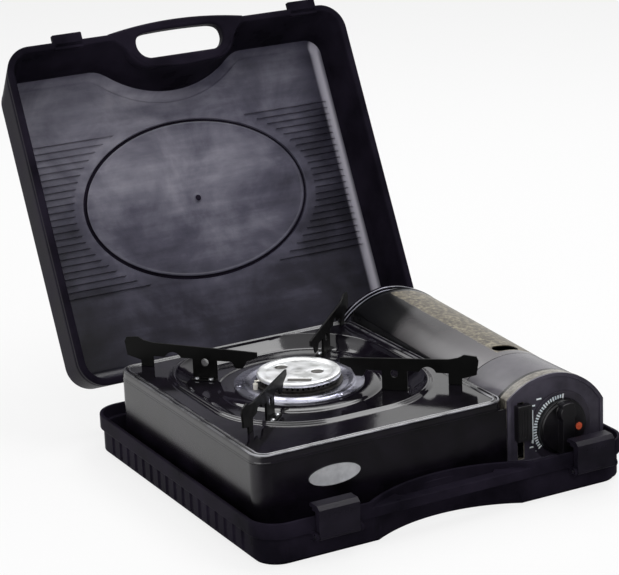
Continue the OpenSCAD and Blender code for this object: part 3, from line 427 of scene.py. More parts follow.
def turned_skin(tree, here):
    """Fine rings from the lathe round the burner's middle, heat haze, and soot left in the pressings."""
    centred = add(tree, "ShaderNodeMapping", {"Vector": here, "Location": TO_CAP_MIDDLE})
    rings = add(tree, "ShaderNodeTexWave", {"wave_type": "RINGS", "rings_direction": "Z", "Vector": centred,
                                            "Scale": 1 / (WAVES_PER_RING * TURNING_MM * MM), "Distortion": 0.4})
    haze = add(tree, "ShaderNodeTexNoise", {"Vector": here, **blotches(CAP_HAZE_MM, 4.0)})
    bright = add(tree, "ShaderNodeValToRGB", {"Fac": haze, "stops": [(0.3, "#cdcecc"), (0.6, "#ecedee")]})
    flat = add(tree, "ShaderNodeVectorMath", {"operation": "MULTIPLY", 0: centred, 1: (1, 1, 0)})
    from_middle = add(tree, "ShaderNodeVectorMath", {"operation": "LENGTH", 0: flat})
    z = add(tree, "ShaderNodeSeparateXYZ", {"Vector": here}).outputs["Z"]
    low = add(tree, "ShaderNodeMapRange", {"Value": z, **span(*SOOT_Z, 1, 0)})
    inside_rim = add(tree, "ShaderNodeMapRange", {"Value": from_middle, **span(*INSIDE_RIM_R, 1, 0)})
    sooty = product(tree, low, inside_rim, SOOT_SHARE)
    return {"Base Color": add(tree, "ShaderNodeMix", {"data_type": "RGBA", 0: sooty, 6: bright, 7: "#4a4743"}),
            "Roughness": add(tree, "ShaderNodeMapRange", {"Value": haze, **span(*WANDER, *CAP_ROUGH)}),
            "Normal": add(tree, "ShaderNodeBump", {"Height": rings, "Distance": TURNING_DEEP_MM * MM, "Strength": 1.0})}


# The cap: a matt bright disc, nearly white, with dark stamped marks.
polished_aluminium = surface("aluminium_turned_matt_cap", {"Metallic": 1.0}, turned_skin)
print("lathe rings, mm:", TURNING_MM)

# %% Plated, rolled and cast metals
CAST_SKIN = (0.8, 3.0, 0.08)
HEAT_MM, REFLECTION_FRONT_Y, LEAST_REFLECTION = 18, (-0.012, 0.012), 0.3
ROLL_STRETCH, ROLL_SCALE, ROLL_PATCH_MM = (40.0, 40.0, 900.0), 8.0, 8
ETCH_MM, BADGE_PATCH_MM = 0.7, 7


def blued_with_painted_reflection(tree, here):
    """Plating that heat has turned a little blue, with a painted reflection: bright at the front, dark behind."""
    haze = add(tree, "ShaderNodeTexNoise", {"Vector": here, **blotches(HEAT_MM)})
    bright = add(tree, "ShaderNodeValToRGB", {"Fac": haze, "stops": [(0.3, "#bcbccb"), (0.7, "#e2e2ee")]})
    y = add(tree, "ShaderNodeSeparateXYZ", {"Vector": here}).outputs["Y"]
    front_reflection = add(tree, "ShaderNodeMapRange", {"Value": y, **span(*REFLECTION_FRONT_Y, 1, LEAST_REFLECTION)})
    return {"Base Color": add(tree, "ShaderNodeMix", {"data_type": "RGBA", 0: front_reflection, 6: "#4a4955", 7: bright}),
            "Roughness": add(tree, "ShaderNodeMapRange", {"Value": haze, **span(*WANDER, 0.24, 0.34)})}


def rolled(tree, here):
    """Lines that the rolling mill leaves, much longer than they are wide."""
    stretch = add(tree, "ShaderNodeMapping", {"Vector": here, "Scale": ROLL_STRETCH})
    lines = add(tree, "ShaderNodeTexNoise", {"Vector": stretch, "Scale": ROLL_SCALE, "Detail": 2.0})
    return {"Roughness": add(tree, "ShaderNodeMapRange", {"Value": lines, **span(*WANDER, 0.22, 0.36)}),
            "Base Color": patches(tree, here, ROLL_PATCH_MM, 3.0, [(0.3, "#a9abb0"), (0.7, "#c9cacd")])}


def anodised(tree, here):
    """The even satin of an etched and anodised sheet."""
    fine = add(tree, "ShaderNodeTexNoise", {"Vector": here, **blotches(ETCH_MM, 2.0)})
    return {"Roughness": add(tree, "ShaderNodeMapRange", {"Value": fine, **span(*WANDER, 0.3, 0.42)}),
            "Base Color": patches(tree, here, BADGE_PATCH_MM, 3.0, [(0.3, "#c2c3c8"), (0.7, "#dadbdf")])}


# The collar and wires: bright, cold, with a blue tinge, and a painted reflection, bright at the front and dark behind.
plated_steel = surface("steel_bright_plated_blued", {"Metallic": 1.0}, blued_with_painted_reflection)
# Pins, shield, cradle and rivets: plain grey metal with faint lines.
zinc_steel = surface("steel_zinc_plated_rolled", {"Metallic": 1.0}, rolled)
# Bowl, mixing tube and regulator: the dull pebbled grey of a casting.
cast_aluminium = surface("aluminium_die_cast", {"Metallic": 1.0, "Roughness": 0.45},
                         plain_skin("#97989a", "#b4b5b5", (9, 3.0), CAST_SKIN))
# The ring of flame ports: a casting that the flames have blackened.
fired_ring = surface("aluminium_cast_fire_blackened", {"Metallic": 0.6, "Roughness": 0.45},
                     plain_skin("#141211", "#37332f", (3, 4.0), CAST_SKIN, (0.35, 0.7)))
# The blank badge: silver under clear lacquer, so it keeps its tone where bare metal would go dark.
silver_oval = surface("aluminium_badge_lacquered", {"Metallic": 0.25}, anodised)
print("cast skin, mm:", CAST_SKIN[0])

# %% [markdown]
# The small plastics: the knob and the lever are smooth black ABS with a low sheen, the spot on
# the knob is orange, and the dial's marks are screen-printed in a cool white. They differ only
# in colour, shine and the size of their skin, so one table describes them all.

# %% Small plastics
SMALL_FINISHES = {
    # name: (shader settings, low, high, patches in mm, depth of the skin in mm)
    # The knob and the lever: smooth and black, with one soft highlight.
    "abs_black_knob": ({"IOR": 1.54, "Roughness": 0.3}, "#0b0a0c", "#18161b", 14, 0.04),
    # The dial ring: a dusty violet grey that sets the black knob off.
    "abs_dial_ring_violet_grey": ({"IOR": 1.54, "Roughness": 0.36}, "#242029", "#37323f", 16, 0.03),
    # The spot on the knob: the one strong colour of the stove.
    "abs_orange_spot": ({"IOR": 1.54, "Roughness": 0.35}, "#dc5230", "#ee6f4a", 2, 0.02),
    # Screen print: a flat cool white with a slightly uneven ink.
    "print_white_silkscreen": ({"Roughness": 0.5}, "#cfdde4", "#f2f6f8", 3, 0.01),
    # The feet: matt rubber with no highlight.
    "rubber_black_moulded": ({"Roughness": 0.8}, "#0d0d0d", "#191919", 4, 0.08),
    # Igniter and lead: milky nylon.
    "nylon_white_moulded": ({"Roughness": 0.45}, "#d3d0c6", "#e6e3da", 9, 0.03),
    # The electrode: glazed ceramic, smooth and wet.
    "ceramic_white_glazed": ({"Roughness": 0.15, "IOR": 1.6}, "#e0dbd0", "#efece4", 6, 0.01),
}
knob_abs, dial_print, orange_abs, white_print, rubber_black, white_nylon, glazed_ceramic = [
    surface(name, settings, plain_skin(low, high, (cloud_mm, 3.0), (0.8, 2.0, deep_mm)))
    for name, (settings, low, high, cloud_mm, deep_mm) in SMALL_FINISHES.items()]
print("small finishes:", len(SMALL_FINISHES))

# %% [markdown]
# Shells as lofts. A pressed plate or a moulded lid is a stack of outlines, each a little
# further out and a little higher or lower than the last. An outline is written as a signed
# distance, negative inside. `reach` walks out from one centre and finds the edge in each
# direction, so every ring has the same number of points and the rings join without a seam.

# %% Outlines
FARTHEST_MM = 420.0
HALVINGS = 40
CORNER_SPREAD, LEAST_STEP = 0.14, 0.002  # radians


def directions(corner, rays):
    """Angles all round, closer together near the four corners of a rectangle."""
    even = np.linspace(0, 2 * np.pi, rays // 2, endpoint=False)
    near = np.linspace(-CORNER_SPREAD, CORNER_SPREAD, rays // 8)
    corners = [at + near for at in (corner, np.pi - corner, np.pi + corner, 2 * np.pi - corner)]
    angles = np.unique(np.round(np.concatenate([even] + corners) % (2 * np.pi), 5))
    return angles[np.append(True, np.diff(angles) > LEAST_STEP)]


def box_outline(cx, cy, width, depth, radius):
    """Rounded rectangle, in mm."""
    def distance(x, y):
        qx = np.abs(x - cx) - (width / 2 - radius)
        qy = np.abs(y - cy) - (depth / 2 - radius)
        outside = np.hypot(np.maximum(qx, 0), np.maximum(qy, 0))
        return outside + np.minimum(np.maximum(qx, qy), 0) - radius
    return distance


def disc_outline(cx, cy, radius):
    """Circle, in mm."""
    return lambda x, y: np.hypot(x - cx, y - cy) - radius


def both(first, second, soften):
    """Where two outlines overlap, with the corners between them softened."""
    def distance(x, y):
        a, b = first(x, y), second(x, y)
        h = np.maximum(soften - np.abs(a - b), 0) / soften
        return np.maximum(a, b) + h * h * soften / 4
    return distance


def outside_of(outline):
    """Everything that an outline leaves out."""
    return lambda x, y: -outline(x, y)


def either(first, second, soften):
    """The two outlines as one shape, with the inner corners between them filled a little."""
    return outside_of(both(outside_of(first), outside_of(second), soften))


def reach(outline, centre, angles, inset=0.0):
    """How far out the outline is in each direction, after moving it in by inset."""
    near, far = np.zeros(len(angles)), np.full(len(angles), FARTHEST_MM)
    for _ in range(HALVINGS):
        half = (near + far) / 2
        inside = outline(centre[0] + half * np.cos(angles), centre[1] + half * np.sin(angles)) < -inset
        near, far = np.where(inside, half, near), np.where(inside, far, half)
    return near


print("a 10 mm disc reaches:", reach(disc_outline(0, 0, 10), (0, 0), np.zeros(1)).round(3)[0])

# %% Lofts
CREASE_DEG, WELD_MM, SLIVER_MM = 40.0, 0.002, 0.0005


def ring_points(centre, angles, radius, z):
    """The points of one ring, in mm."""
    return np.column_stack([centre[0] + radius * np.cos(angles), centre[1] + radius * np.sin(angles),
                            np.full(len(angles), z)])


def finish_mesh(name, mesh):
    """Welds, turns faces outward, shades smooth with creases, and keeps flat faces flat."""
    work = bmesh.new()
    work.from_mesh(mesh)
    bmesh.ops.remove_doubles(work, verts=work.verts, dist=WELD_MM * MM)
    bmesh.ops.dissolve_degenerate(work, edges=work.edges, dist=SLIVER_MM * MM)
    bmesh.ops.recalc_face_normals(work, faces=work.faces)
    for face in work.faces:
        face.smooth = True
    for edge in work.edges:
        edge.smooth = len(edge.link_faces) != 2 or edge.calc_face_angle(0) < math.radians(CREASE_DEG)
    work.to_mesh(mesh)
    work.free()
    piece = linked(name, mesh)
    piece.modifiers.new("flat_stays_flat", "WEIGHTED_NORMAL").keep_sharp = True
    return baked(piece)


def baked(piece):
    """Turns a piece with modifiers into a plain mesh."""
    ready = piece.evaluated_get(bpy.context.evaluated_depsgraph_get())
    mesh = bpy.data.meshes.new_from_object(ready)
    piece.modifiers.clear()
    piece.data = mesh
    return piece


def loft(name, rings, ends="caps", bands=None):
    """A mesh through rings of equal length, in mm. ends: caps closes both, loop joins the last to the
    first. bands lists the first ring of each next material."""
    count = len(rings[0])
    faces, kinds = [], []
    last = len(rings) if ends == "loop" else len(rings) - 1
    for k in range(last):
        a, b = k * count, ((k + 1) % len(rings)) * count
        faces += [(a + i, a + (i + 1) % count, b + (i + 1) % count, b + i) for i in range(count)]
        kinds += [sum(k >= start for start in (bands or []))] * count
    if ends == "caps":
        faces += [tuple(reversed(range(count))), tuple(range((len(rings) - 1) * count, len(rings) * count))]
        kinds += [0, kinds[-1]]
    mesh = mesh_of(name, np.concatenate(rings) * MM, faces)
    if bands:
        mesh.polygons.foreach_set("material_index", kinds)
    return finish_mesh(name, mesh)


def dress(piece, materials, body, slot, *nodes):
    """Gives a piece its materials and its body, and hides the frame's pieces that it stands for."""
    indexes = np.zeros(len(piece.data.polygons), dtype=np.int32)
    piece.data.polygons.foreach_get("material_index", indexes)
    piece.data.materials.clear()
    for material in materials if isinstance(materials, (list, tuple)) else [materials]:
        piece.data.materials.append(material)
    piece.data.polygons.foreach_set("material_index", np.minimum(indexes, len(piece.data.materials) - 1))
    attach(piece, body)
    if nodes:
        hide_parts(*nodes)
    return piece


print("creases over, degrees:", CREASE_DEG)

# %% [markdown]
# Rounded edges. Pressed steel and moulded plastic never end in a knife edge, and it is the
# round on each edge that catches the lamps. `softened` takes a copy of a frame piece, merges
# its loose triangles into whole faces and bevels every sharp edge by a real radius.

# %% Softened copies
FLAT_WITHIN_DEG, BEVEL_OVER_DEG, BEVEL_STEPS = 0.3, 32.0, 2


def softened(node, width_mm):
    """A copy of a frame piece with its sharp edges rounded."""
    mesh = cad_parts[node].data.copy()
    work = bmesh.new()
    work.from_mesh(mesh)
    bmesh.ops.remove_doubles(work, verts=work.verts, dist=WELD_MM * MM)
    bmesh.ops.dissolve_limit(work, angle_limit=math.radians(FLAT_WITHIN_DEG), verts=work.verts, edges=work.edges)
    bmesh.ops.recalc_face_normals(work, faces=work.faces)
    for part in (*work.faces, *work.edges):
        part.smooth = True
    work.to_mesh(mesh)
    work.free()
    mesh.materials.clear()
    piece = linked(node + "_dressed", mesh)
    rounding = piece.modifiers.new("rounding", "BEVEL")
    rounding.width = width_mm * MM
    rounding.segments = BEVEL_STEPS
    rounding.limit_method = "ANGLE"
    rounding.angle_limit = math.radians(BEVEL_OVER_DEG)
    rounding.use_clamp_overlap = False
    rounding.loop_slide = True
    piece.modifiers.new("flat_stays_flat", "WEIGHTED_NORMAL").keep_sharp = True
    return baked(piece)


print("edges over this are rounded, degrees:", BEVEL_OVER_DEG)

# %% [markdown]
# The lid is one deep moulding. It is easiest to describe shut, as a shallow dome over the
# stove, and then to turn it about its hinge to where the photograph shows it. One stack of
# rings runs from the dot in the middle of the inner panel, over the oval groove, round the
# fillet, down the inner wall, over the rim, and back over the outer dome. The bay that is
# bitten out of its front leaves room for a hand behind the carry handle.

# %% Lid sizes
HALF_W = 181.0
LID_FRONT, LID_BACK = -158.0, 170.0
RIM_Z, LID_TOP = 38.0, 92.0
CORNER_R = 26.0
OUTER_SLOPE, INNER_SLOPE, SIDE_DRAFT = 21.0, 16.0, 3.5
WALL_LOW, WALL_HIGH = 39.5, 82.0
WALL_T, BAY_WALL_T, PANEL_T = 7.0, 4.0, 3.0
INNER_FILLET, OUTER_FILLET = 8.0, 10.0
PANEL_Z = LID_TOP - PANEL_T
BAY_Y, BAY_LOW_R, BAY_RATE, BAY_LOW_Z = -208.0, 84.0, 18 / 50.5, 43.5
BAY_BOX_HALF, BAY_BOX_DEEP, BAY_BOX_R, BAY_SOFT = 52.0, 83.5, 20.0, 8
OVAL_HALF_W, OVAL_HALF_D, OVAL_Y = 119.5, 79.5, 4.0
LID_OPEN = math.radians(-116)
HINGE = np.array([0, 179.2, 42.5])
LID_CENTRE = (0.0, OVAL_Y)
lid_angles = directions(math.atan2(LID_BACK - LID_FRONT, 2 * HALF_W), 520)


def turned_open(points):
    """Turns points of the shut lid about the hinge to its open place."""
    moved = points - HINGE
    c, s = math.cos(LID_OPEN), math.sin(LID_OPEN)
    return np.column_stack([moved[:, 0], moved[:, 1] * c - moved[:, 2] * s,
                            moved[:, 1] * s + moved[:, 2] * c]) + HINGE


def bay_outline(radius_more, box_more):
    """The bay that is bitten out of the lid's front: a big circle and a soft box as one, each grown in mm."""
    box = box_outline(0, BAY_Y, 2 * (BAY_BOX_HALF + box_more), 2 * (BAY_BOX_DEEP + box_more), BAY_BOX_R)
    return either(disc_outline(0, BAY_Y, BAY_LOW_R + radius_more), box, BAY_SOFT)


def wall_ring(thick, inset, z, bay_t):
    """Ring of the lid's wall. thick: how far it lies inside the outer skin. inset: extra for a fillet."""
    up = min(max((z - WALL_LOW) / (WALL_HIGH - WALL_LOW), 0), 1)
    front, rear = LID_FRONT + (INNER_SLOPE if thick else OUTER_SLOPE) * up, LID_BACK - SIDE_DRAFT * up
    plan = box_outline(0, (front + rear) / 2, 2 * (HALF_W - SIDE_DRAFT * up), rear - front, CORNER_R - 2 * up)
    bay = bay_outline(BAY_RATE * max(z - BAY_LOW_Z, 0) + bay_t - thick, bay_t - thick)
    shape = both(plan, outside_of(bay), 3 + 4 * up)
    return ring_points(LID_CENTRE, lid_angles, reach(shape, LID_CENTRE, lid_angles, thick + inset), z)


def oval_ring(grow, z):
    """Ring along the oval groove, grown by so many mm."""
    def shape(x, y):
        return np.hypot(x / (OVAL_HALF_W + grow), (y - OVAL_Y) / (OVAL_HALF_D + grow)) - 1
    return ring_points(LID_CENTRE, lid_angles, reach(shape, LID_CENTRE, lid_angles), z)


def dot_ring(radius, z):
    """Round ring about the dot in the panel's middle."""
    return ring_points(LID_CENTRE, lid_angles, np.full(len(lid_angles), radius), z)


print("rays round the lid:", len(lid_angles))

# %% Lid shell
# Painted shade: the dot and the oval groove keep the plain black, darker than the painted light of the panel around
# them.
DOT_EDGE, GROOVE_START, GROOVE_END = 2, 10, 15  # rings at which the plain black and the panel change
QUARTER = [math.radians(a) for a in (90, 78, 66, 54, 42, 30, 18, 8, 0)]
GROOVE = [(-6.4, 0), (-5.2, -0.5), (-4.2, -0.65), (-3.3, -0.4), (-2.9, 0.5), (-2.6, 1.9),
          (-1.9, 2.3), (-0.9, 2.3), (-0.3, 1.9), (0.1, 0.5), (0.5, 0.05), (1.2, 0)]
DOT = [(0.5, 2.4), (2.0, 2.3), (2.9, 1.9), (3.5, 0.5), (4.2, 0.08), (6, 0)]
INNER_EDGE = [(-0.25, 38.9), (-0.9, 38.25), (-1.7, 38.0)]
OUTER_EDGE = [(2.2, 38.0), (1.0, 38.2), (0.3, 38.8), (0, 39.8), (0, 43.0), (0.25, 43.8), (0.8, 44.3)]


def fillet_rings(thick, fillet, bay_t):
    """Rings round the quarter between the wall and the flat top."""
    return [wall_ring(thick, fillet * (1 - math.cos(t)), WALL_HIGH + fillet * math.sin(t), bay_t) for t in QUARTER]


panel = [dot_ring(r, PANEL_Z - h) for r, h in DOT] + [dot_ring(40, PANEL_Z)]
panel += [oval_ring(grow, PANEL_Z + deep) for grow, deep in GROOVE]
panel += [wall_ring(WALL_T, INNER_FILLET + 1.5, PANEL_Z, BAY_WALL_T)] + fillet_rings(WALL_T, INNER_FILLET, BAY_WALL_T)
inner_wall = [wall_ring(WALL_T, 0, z, BAY_WALL_T) for z in (80.5, 74, 66, 58, 50, 44, 40)]
rim = [wall_ring(WALL_T, inset, z, BAY_WALL_T) for inset, z in INNER_EDGE]
rim += [wall_ring(0, inset, z, 0) for inset, z in OUTER_EDGE]
outer = [wall_ring(0, 0, z, 0) for z in (46, 50, 58, 66, 74, 80.5)] + fillet_rings(0, OUTER_FILLET, 0)[::-1]
outer += [wall_ring(0, OUTER_FILLET + 2, LID_TOP, 0), dot_ring(40, LID_TOP), dot_ring(0.5, LID_TOP)]
lid_rings = [turned_open(r) for r in panel + inner_wall + rim + outer]
lid_shell = loft("case_lid_shell", lid_rings, "caps", [DOT_EDGE, GROOVE_START, GROOVE_END, len(panel) - 3])
print("lid faces:", len(lid_shell.data.polygons))

# %% [markdown]
# The carry handle is the thick arched bar in front of the bay. It is one closed band round
# the hand slot: its rings go from the slot's edge over one face to the arched outside and
# back over the other face. A bar along a curve would be quicker, but its ends would have to be
# joined to the lid, and this band meets the bay's edge all along.

# %% Carry handle
SLOT_CENTRE = (0.0, -143.5)
ARCH_R, ARCH_Y, BAY_GAP = 405.3, 240.3, 3.9
HANDLE_T, EDGE_R = 12.0, 2.5
SLOT_W, SLOT_D, SLOT_R, SLOT_ARCH, SLOT_SOFT = 92, 28, 13.8, 8, 6
slot_angles = directions(math.atan2(12, 34), 320)
slot_shape = both(box_outline(0, -144, SLOT_W, SLOT_D, SLOT_R), disc_outline(0, ARCH_Y + SLOT_ARCH, ARCH_R), SLOT_SOFT)
bar_shape = both(disc_outline(0, ARCH_Y, ARCH_R), bay_outline(BAY_GAP, BAY_GAP), 1)


def handle_ring(shape, inset, z):
    """Ring of the handle: the slot's edge or the bar's outside."""
    return ring_points(SLOT_CENTRE, slot_angles, reach(shape, SLOT_CENTRE, slot_angles, inset), z)


handle_low, handle_high = RIM_Z, RIM_Z + HANDLE_T
section = [(-EDGE_R * i, EDGE_R * u) for i, u in ((1, 0), (0.62, 0.08), (0.3, 0.3), (0.08, 0.62), (0, 1))]
handle_rings = [handle_ring(slot_shape, i, handle_low + u) for i, u in section]
handle_rings += [handle_ring(slot_shape, i, handle_high - u) for i, u in reversed(section)]
handle_rings += [handle_ring(bar_shape, -i, handle_high - u) for i, u in section]
handle_rings += [handle_ring(bar_shape, -i, handle_low + u) for i, u in reversed(section)]
lid_handle = loft("case_lid_handle", [turned_open(r) for r in handle_rings], "loop")
print("handle faces:", len(lid_handle.data.polygons))

# %% [markdown]
# The small mouldings on the lid repeat, so Geometry Nodes make them: the low ribs that
# stiffen the panel on both sides of the oval are one bar, copied to points that a short
# table gives, each point with its own length. Separate boxes would do, but the tree keeps
# their width and height as two numbers, and the dial's strokes can use the same bar.

# %% Bars on points


def bars_tree(name, material):
    """A tree that sets a bar with a half-round section on every point, by the point's own length and turn."""
    tree = bpy.data.node_groups.new(name, "GeometryNodeTree")
    tree.interface.new_socket("Geometry", in_out="INPUT", socket_type="NodeSocketGeometry")
    tree.interface.new_socket("Geometry", in_out="OUTPUT", socket_type="NodeSocketGeometry")
    for title in ("Width", "Height"):
        tree.interface.new_socket(title, in_out="INPUT", socket_type="NodeSocketFloat").default_value = MM
    given = add(tree, "NodeGroupInput").outputs
    line = add(tree, "GeometryNodeMeshLine", {"Count": 2, "Start Location": (-0.5, 0, 0), "Offset": (1, 0, 0)})
    path = add(tree, "GeometryNodeMeshToCurve", {"Mesh": line})
    circle = add(tree, "GeometryNodeCurvePrimitiveCircle", {"Resolution": 12, "Radius": 0.5})
    size = add(tree, "ShaderNodeCombineXYZ", {"X": given["Height"], "Y": given["Width"], "Z": 1.0})
    section = add(tree, "GeometryNodeTransform", {"Geometry": circle, "Scale": size})
    bar = add(tree, "GeometryNodeCurveToMesh", {"Curve": path, "Profile Curve": section, "Fill Caps": True})
    smooth = add(tree, "GeometryNodeSetShadeSmooth", {"Geometry": bar})
    turn = add(tree, "GeometryNodeInputNamedAttribute", {"data_type": "FLOAT_VECTOR", "Name": "turn"})
    length = add(tree, "GeometryNodeInputNamedAttribute", {"data_type": "FLOAT", "Name": "length"})
    stretch = add(tree, "ShaderNodeCombineXYZ", {"X": length, "Y": 1.0, "Z": 1.0})
    copies = add(tree, "GeometryNodeInstanceOnPoints", {"Points": given["Geometry"], "Instance": smooth,
                                                        "Rotation": turn, "Scale": stretch})
    real = add(tree, "GeometryNodeRealizeInstances", {"Geometry": copies})
    add(tree, "NodeGroupOutput", {0: add(tree, "GeometryNodeSetMaterial", {"Geometry": real, "Material": material})})
    return tree


def bars(name, tree, points, lengths, turns, width, height):
    """Runs a bars tree on points, all sizes in mm and turns in radians, and bakes it to a plain mesh piece."""
    mesh = mesh_of(name, np.array(points) * MM)
    lengths, turns = np.array(lengths, dtype=float) * MM, np.array(turns, dtype=float)
    mesh.attributes.new("length", "FLOAT", "POINT").data.foreach_set("value", lengths)
    mesh.attributes.new("turn", "FLOAT_VECTOR", "POINT").data.foreach_set("vector", turns.ravel())
    piece = linked(name, mesh)
    growth = piece.modifiers.new("growth", "NODES")
    growth.node_group = tree
    sizes = {"Width": width * MM, "Height": height * MM}
    for item in tree.interface.items_tree:
        if item.in_out == "INPUT" and item.name in sizes:
            growth[item.identifier] = sizes[item.name]
    return baked(piece)


rib_tree = bars_tree("panel_ribs_tree", lid_panel_plastic)
print("nodes in the tree:", len(rib_tree.nodes))

# %% Panel ribs
RIB_PITCH, RIB_W, RIB_H, RIB_OUT, RIB_SUNK = 6.5, 5.4, 0.62, 164.0, 0.12
RIB_ROWS, RIB_SHIFT_Y, OVAL_CLEAR, RIB_LEAST_X, RIB_LEAST_L = 17, 10, 10, 60, 14
rib_points, rib_lengths = [], []
for row in range(-RIB_ROWS, RIB_ROWS + 1):
    y = OVAL_Y + RIB_SHIFT_Y + row * RIB_PITCH
    share = (y - OVAL_Y) / (OVAL_HALF_D + OVAL_CLEAR)
    inner = (OVAL_HALF_W + OVAL_CLEAR) * math.sqrt(1 - share * share) if abs(share) < 1 else 0
    if RIB_LEAST_X < inner < RIB_OUT - RIB_LEAST_L:
        for side in (-1, 1):
            rib_points.append((side * (inner + RIB_OUT) / 2, y, PANEL_Z + RIB_SUNK))
            rib_lengths.append(RIB_OUT - inner)
panel_ribs = bars("case_lid_ribs", rib_tree, turned_open(np.array(rib_points)), rib_lengths,
                  [(LID_OPEN, 0, 0)] * len(rib_points), RIB_W, RIB_H)
print("ribs:", len(rib_points))

# %% [markdown]
# Catches and hinge parts. The catches are the two small tongues that the latches hook over.
# The hinge is a barrel on each side with a web to the rim. They are moulded in one with the
# lid, so they are built as soft boxes and round bars in the shut lid's frame and turned open.

# %% Soft blocks and barrels
BLOCK_STEPS, BARREL_SIDES, BARREL_ROUND = 3, 40, 0.6


def soft_block(low, high, radius):
    """A box with rounded edges, as bmesh geometry, in mm."""
    work = bmesh.new()
    bmesh.ops.create_cube(work, size=1.0)
    for vert in work.verts:
        for axis in range(3):
            vert.co[axis] = (low[axis] if vert.co[axis] < 0 else high[axis])
    bmesh.ops.bevel(work, geom=list(work.edges), offset=radius, segments=BLOCK_STEPS, profile=0.5, affect="EDGES")
    return work


def barrel(radius, x_low, x_high, y, z):
    """A round bar along X with rounded ends, as bmesh geometry, in mm."""
    angles = np.linspace(0, 2 * np.pi, BARREL_SIDES, endpoint=False)
    ends = [(BARREL_ROUND * along, radius - BARREL_ROUND * lower) for along, lower in ((0, 1), (0.3, 0.3), (1, 0))]
    stack = [(x_low + along, r) for along, r in ends] + [(x_high - along, r) for along, r in reversed(ends)]
    work = bmesh.new()
    rows = [[work.verts.new((x, y + r * math.cos(t), z + r * math.sin(t))) for t in angles] for x, r in stack]
    for a, b in zip(rows, rows[1:]):
        for i in range(len(a)):
            work.faces.new((a[i], a[(i + 1) % len(a)], b[(i + 1) % len(a)], b[i]))
    work.faces.new(list(reversed(rows[0])))
    work.faces.new(rows[-1])
    return work


def joined_open(name, works):
    """One piece from several bmesh parts of the shut lid, in mm, turned open with it."""
    points, faces = [], []
    for work in works:
        start = sum(len(part) for part in points)
        work.verts.index_update()
        points.append(turned_open(np.array([vert.co[:] for vert in work.verts])))
        faces += [tuple(vert.index + start for vert in face.verts) for face in work.faces]
        work.free()
    return finish_mesh(name, mesh_of(name, np.concatenate(points) * MM, faces))


print("block edges in steps of:", BLOCK_STEPS)

# %% Lid fittings
LATCH_X, CATCH_HALF_W, CATCH_OUT, CATCH_IN, CATCH_H, CATCH_R = (-114.0, 138.0), 15.0, 7.0, 8, 6, 1.2
KNUCKLE_X, KNUCKLE_L, KNUCKLE_R = 105.0, 18.0, 4.6
WEB_LIFT, WEB_TOP, WEB_R = 0.4, 7.6, 0.8
fittings = [soft_block((x - CATCH_HALF_W, LID_FRONT - CATCH_OUT, RIM_Z),
                       (x + CATCH_HALF_W, LID_FRONT + CATCH_IN, RIM_Z + CATCH_H), CATCH_R) for x in LATCH_X]
for side in (-1, 1):
    x_low, x_high = side * KNUCKLE_X - KNUCKLE_L / 2, side * KNUCKLE_X + KNUCKLE_L / 2
    fittings.append(barrel(KNUCKLE_R, x_low, x_high, HINGE[1], HINGE[2]))
    fittings.append(soft_block((x_low, LID_BACK - WALL_T, RIM_Z + WEB_LIFT),
                               (x_high, HINGE[1] - 1, RIM_Z + WEB_TOP), WEB_R))
print("lid fittings:", len(fittings))
lid_fittings = joined_open("case_lid_fittings", fittings)

# %% Lid dressed
# The panel's pale violet is painted light on the lid's black plastic, and the ribs share it.
plain, panelled = black_polypropylene, lid_panel_plastic
dress(lid_shell, [plain, panelled, plain, panelled, plain], "lid", "case_plastic", "case_lid")
for piece in (lid_handle, lid_fittings):
    dress(piece, plain, "lid", "case_plastic", "case_lid")
dress(panel_ribs, panelled, "lid", "case_plastic", "case_lid")
print("lid finishes:", [material.name for material in lid_shell.data.materials][:2])

# %% [markdown]
# The top plate is one deep drawing of enamelled sheet. Its rings run from the edge of the
# burner hole, over the raised seat of the burner, across the floor of the well, up the well's
# slope and over its two beads, across the flat to the edge bead, and down the skirt. Then they
# come back underneath, one sheet thickness lower, so that the plate is a real closed sheet.

# %% Top plate
BURNER = (-41.9, 20.9)
PLATE_W, PLATE_D = 240.0, 272.4
plate_plan = box_outline(-47.7, -3.5, PLATE_W, PLATE_D, 15.0)
well_plan = box_outline(-44.0, 15.0, 194.0, 218.0, 75.0)
plate_angles = directions(math.atan2(PLATE_D, PLATE_W), 480)


def plate_ring(shape, inset, z):
    """Reach and height of a ring that follows an outline."""
    return (reach(shape, BURNER, plate_angles, inset), z)


def seat_ring(radius, z):
    """Reach and height of a round ring about the burner."""
    return (np.full(len(plate_angles), float(radius)), z)


# The plate's section, in mm: (radius, height) on the seat, and elsewhere (how far inside the
# outline, height), where a negative distance lies outside it.
SEAT = [(47.0, 78.3), (47.2, 78.7), (47.7, 78.9), (49, 78.9), (60.5, 78.9), (62.5, 78.85), (66, 78.6),
        (69.6, 78.1), (71.2, 77.5), (72.4, 76.85), (73.6, 76.55), (75.2, 76.5)]
WELL_SLOPE = [(17.5, 76.5), (15.5, 76.55), (13.8, 76.85), (12.0, 77.6), (9.6, 79.2), (7.2, 80.9),
              (4.8, 82.6), (2.8, 84.0), (1.4, 85.1), (0.4, 86.2), (-0.25, 86.9), (-0.9, 87.3), (-1.6, 87.4),
              (-2.3, 87.2), (-2.9, 86.7), (-3.4, 86.35), (-4.1, 86.2), (-4.8, 85.85), (-5.5, 85.3),
              (-6.3, 85.03), (-7.5, 85.0)]
EDGE = [(8.6, 85.0), (7.6, 85.05), (7.0, 85.35), (6.4, 85.85), (5.8, 86.0), (5.2, 85.85), (4.6, 85.35),
        (4.1, 85.15), (3.6, 85.2), (3.1, 85.55), (2.5, 86.05), (1.8, 86.2), (1.1, 85.9), (0.6, 85.2),
        (0.3, 84.5), (0.15, 83.9), (0, 83.0), (0, 80.4), (-0.25, 79.8), (-0.5, 79.4), (-0.6, 78.9),
        (-0.5, 78.4), (0.1, 78.05)]
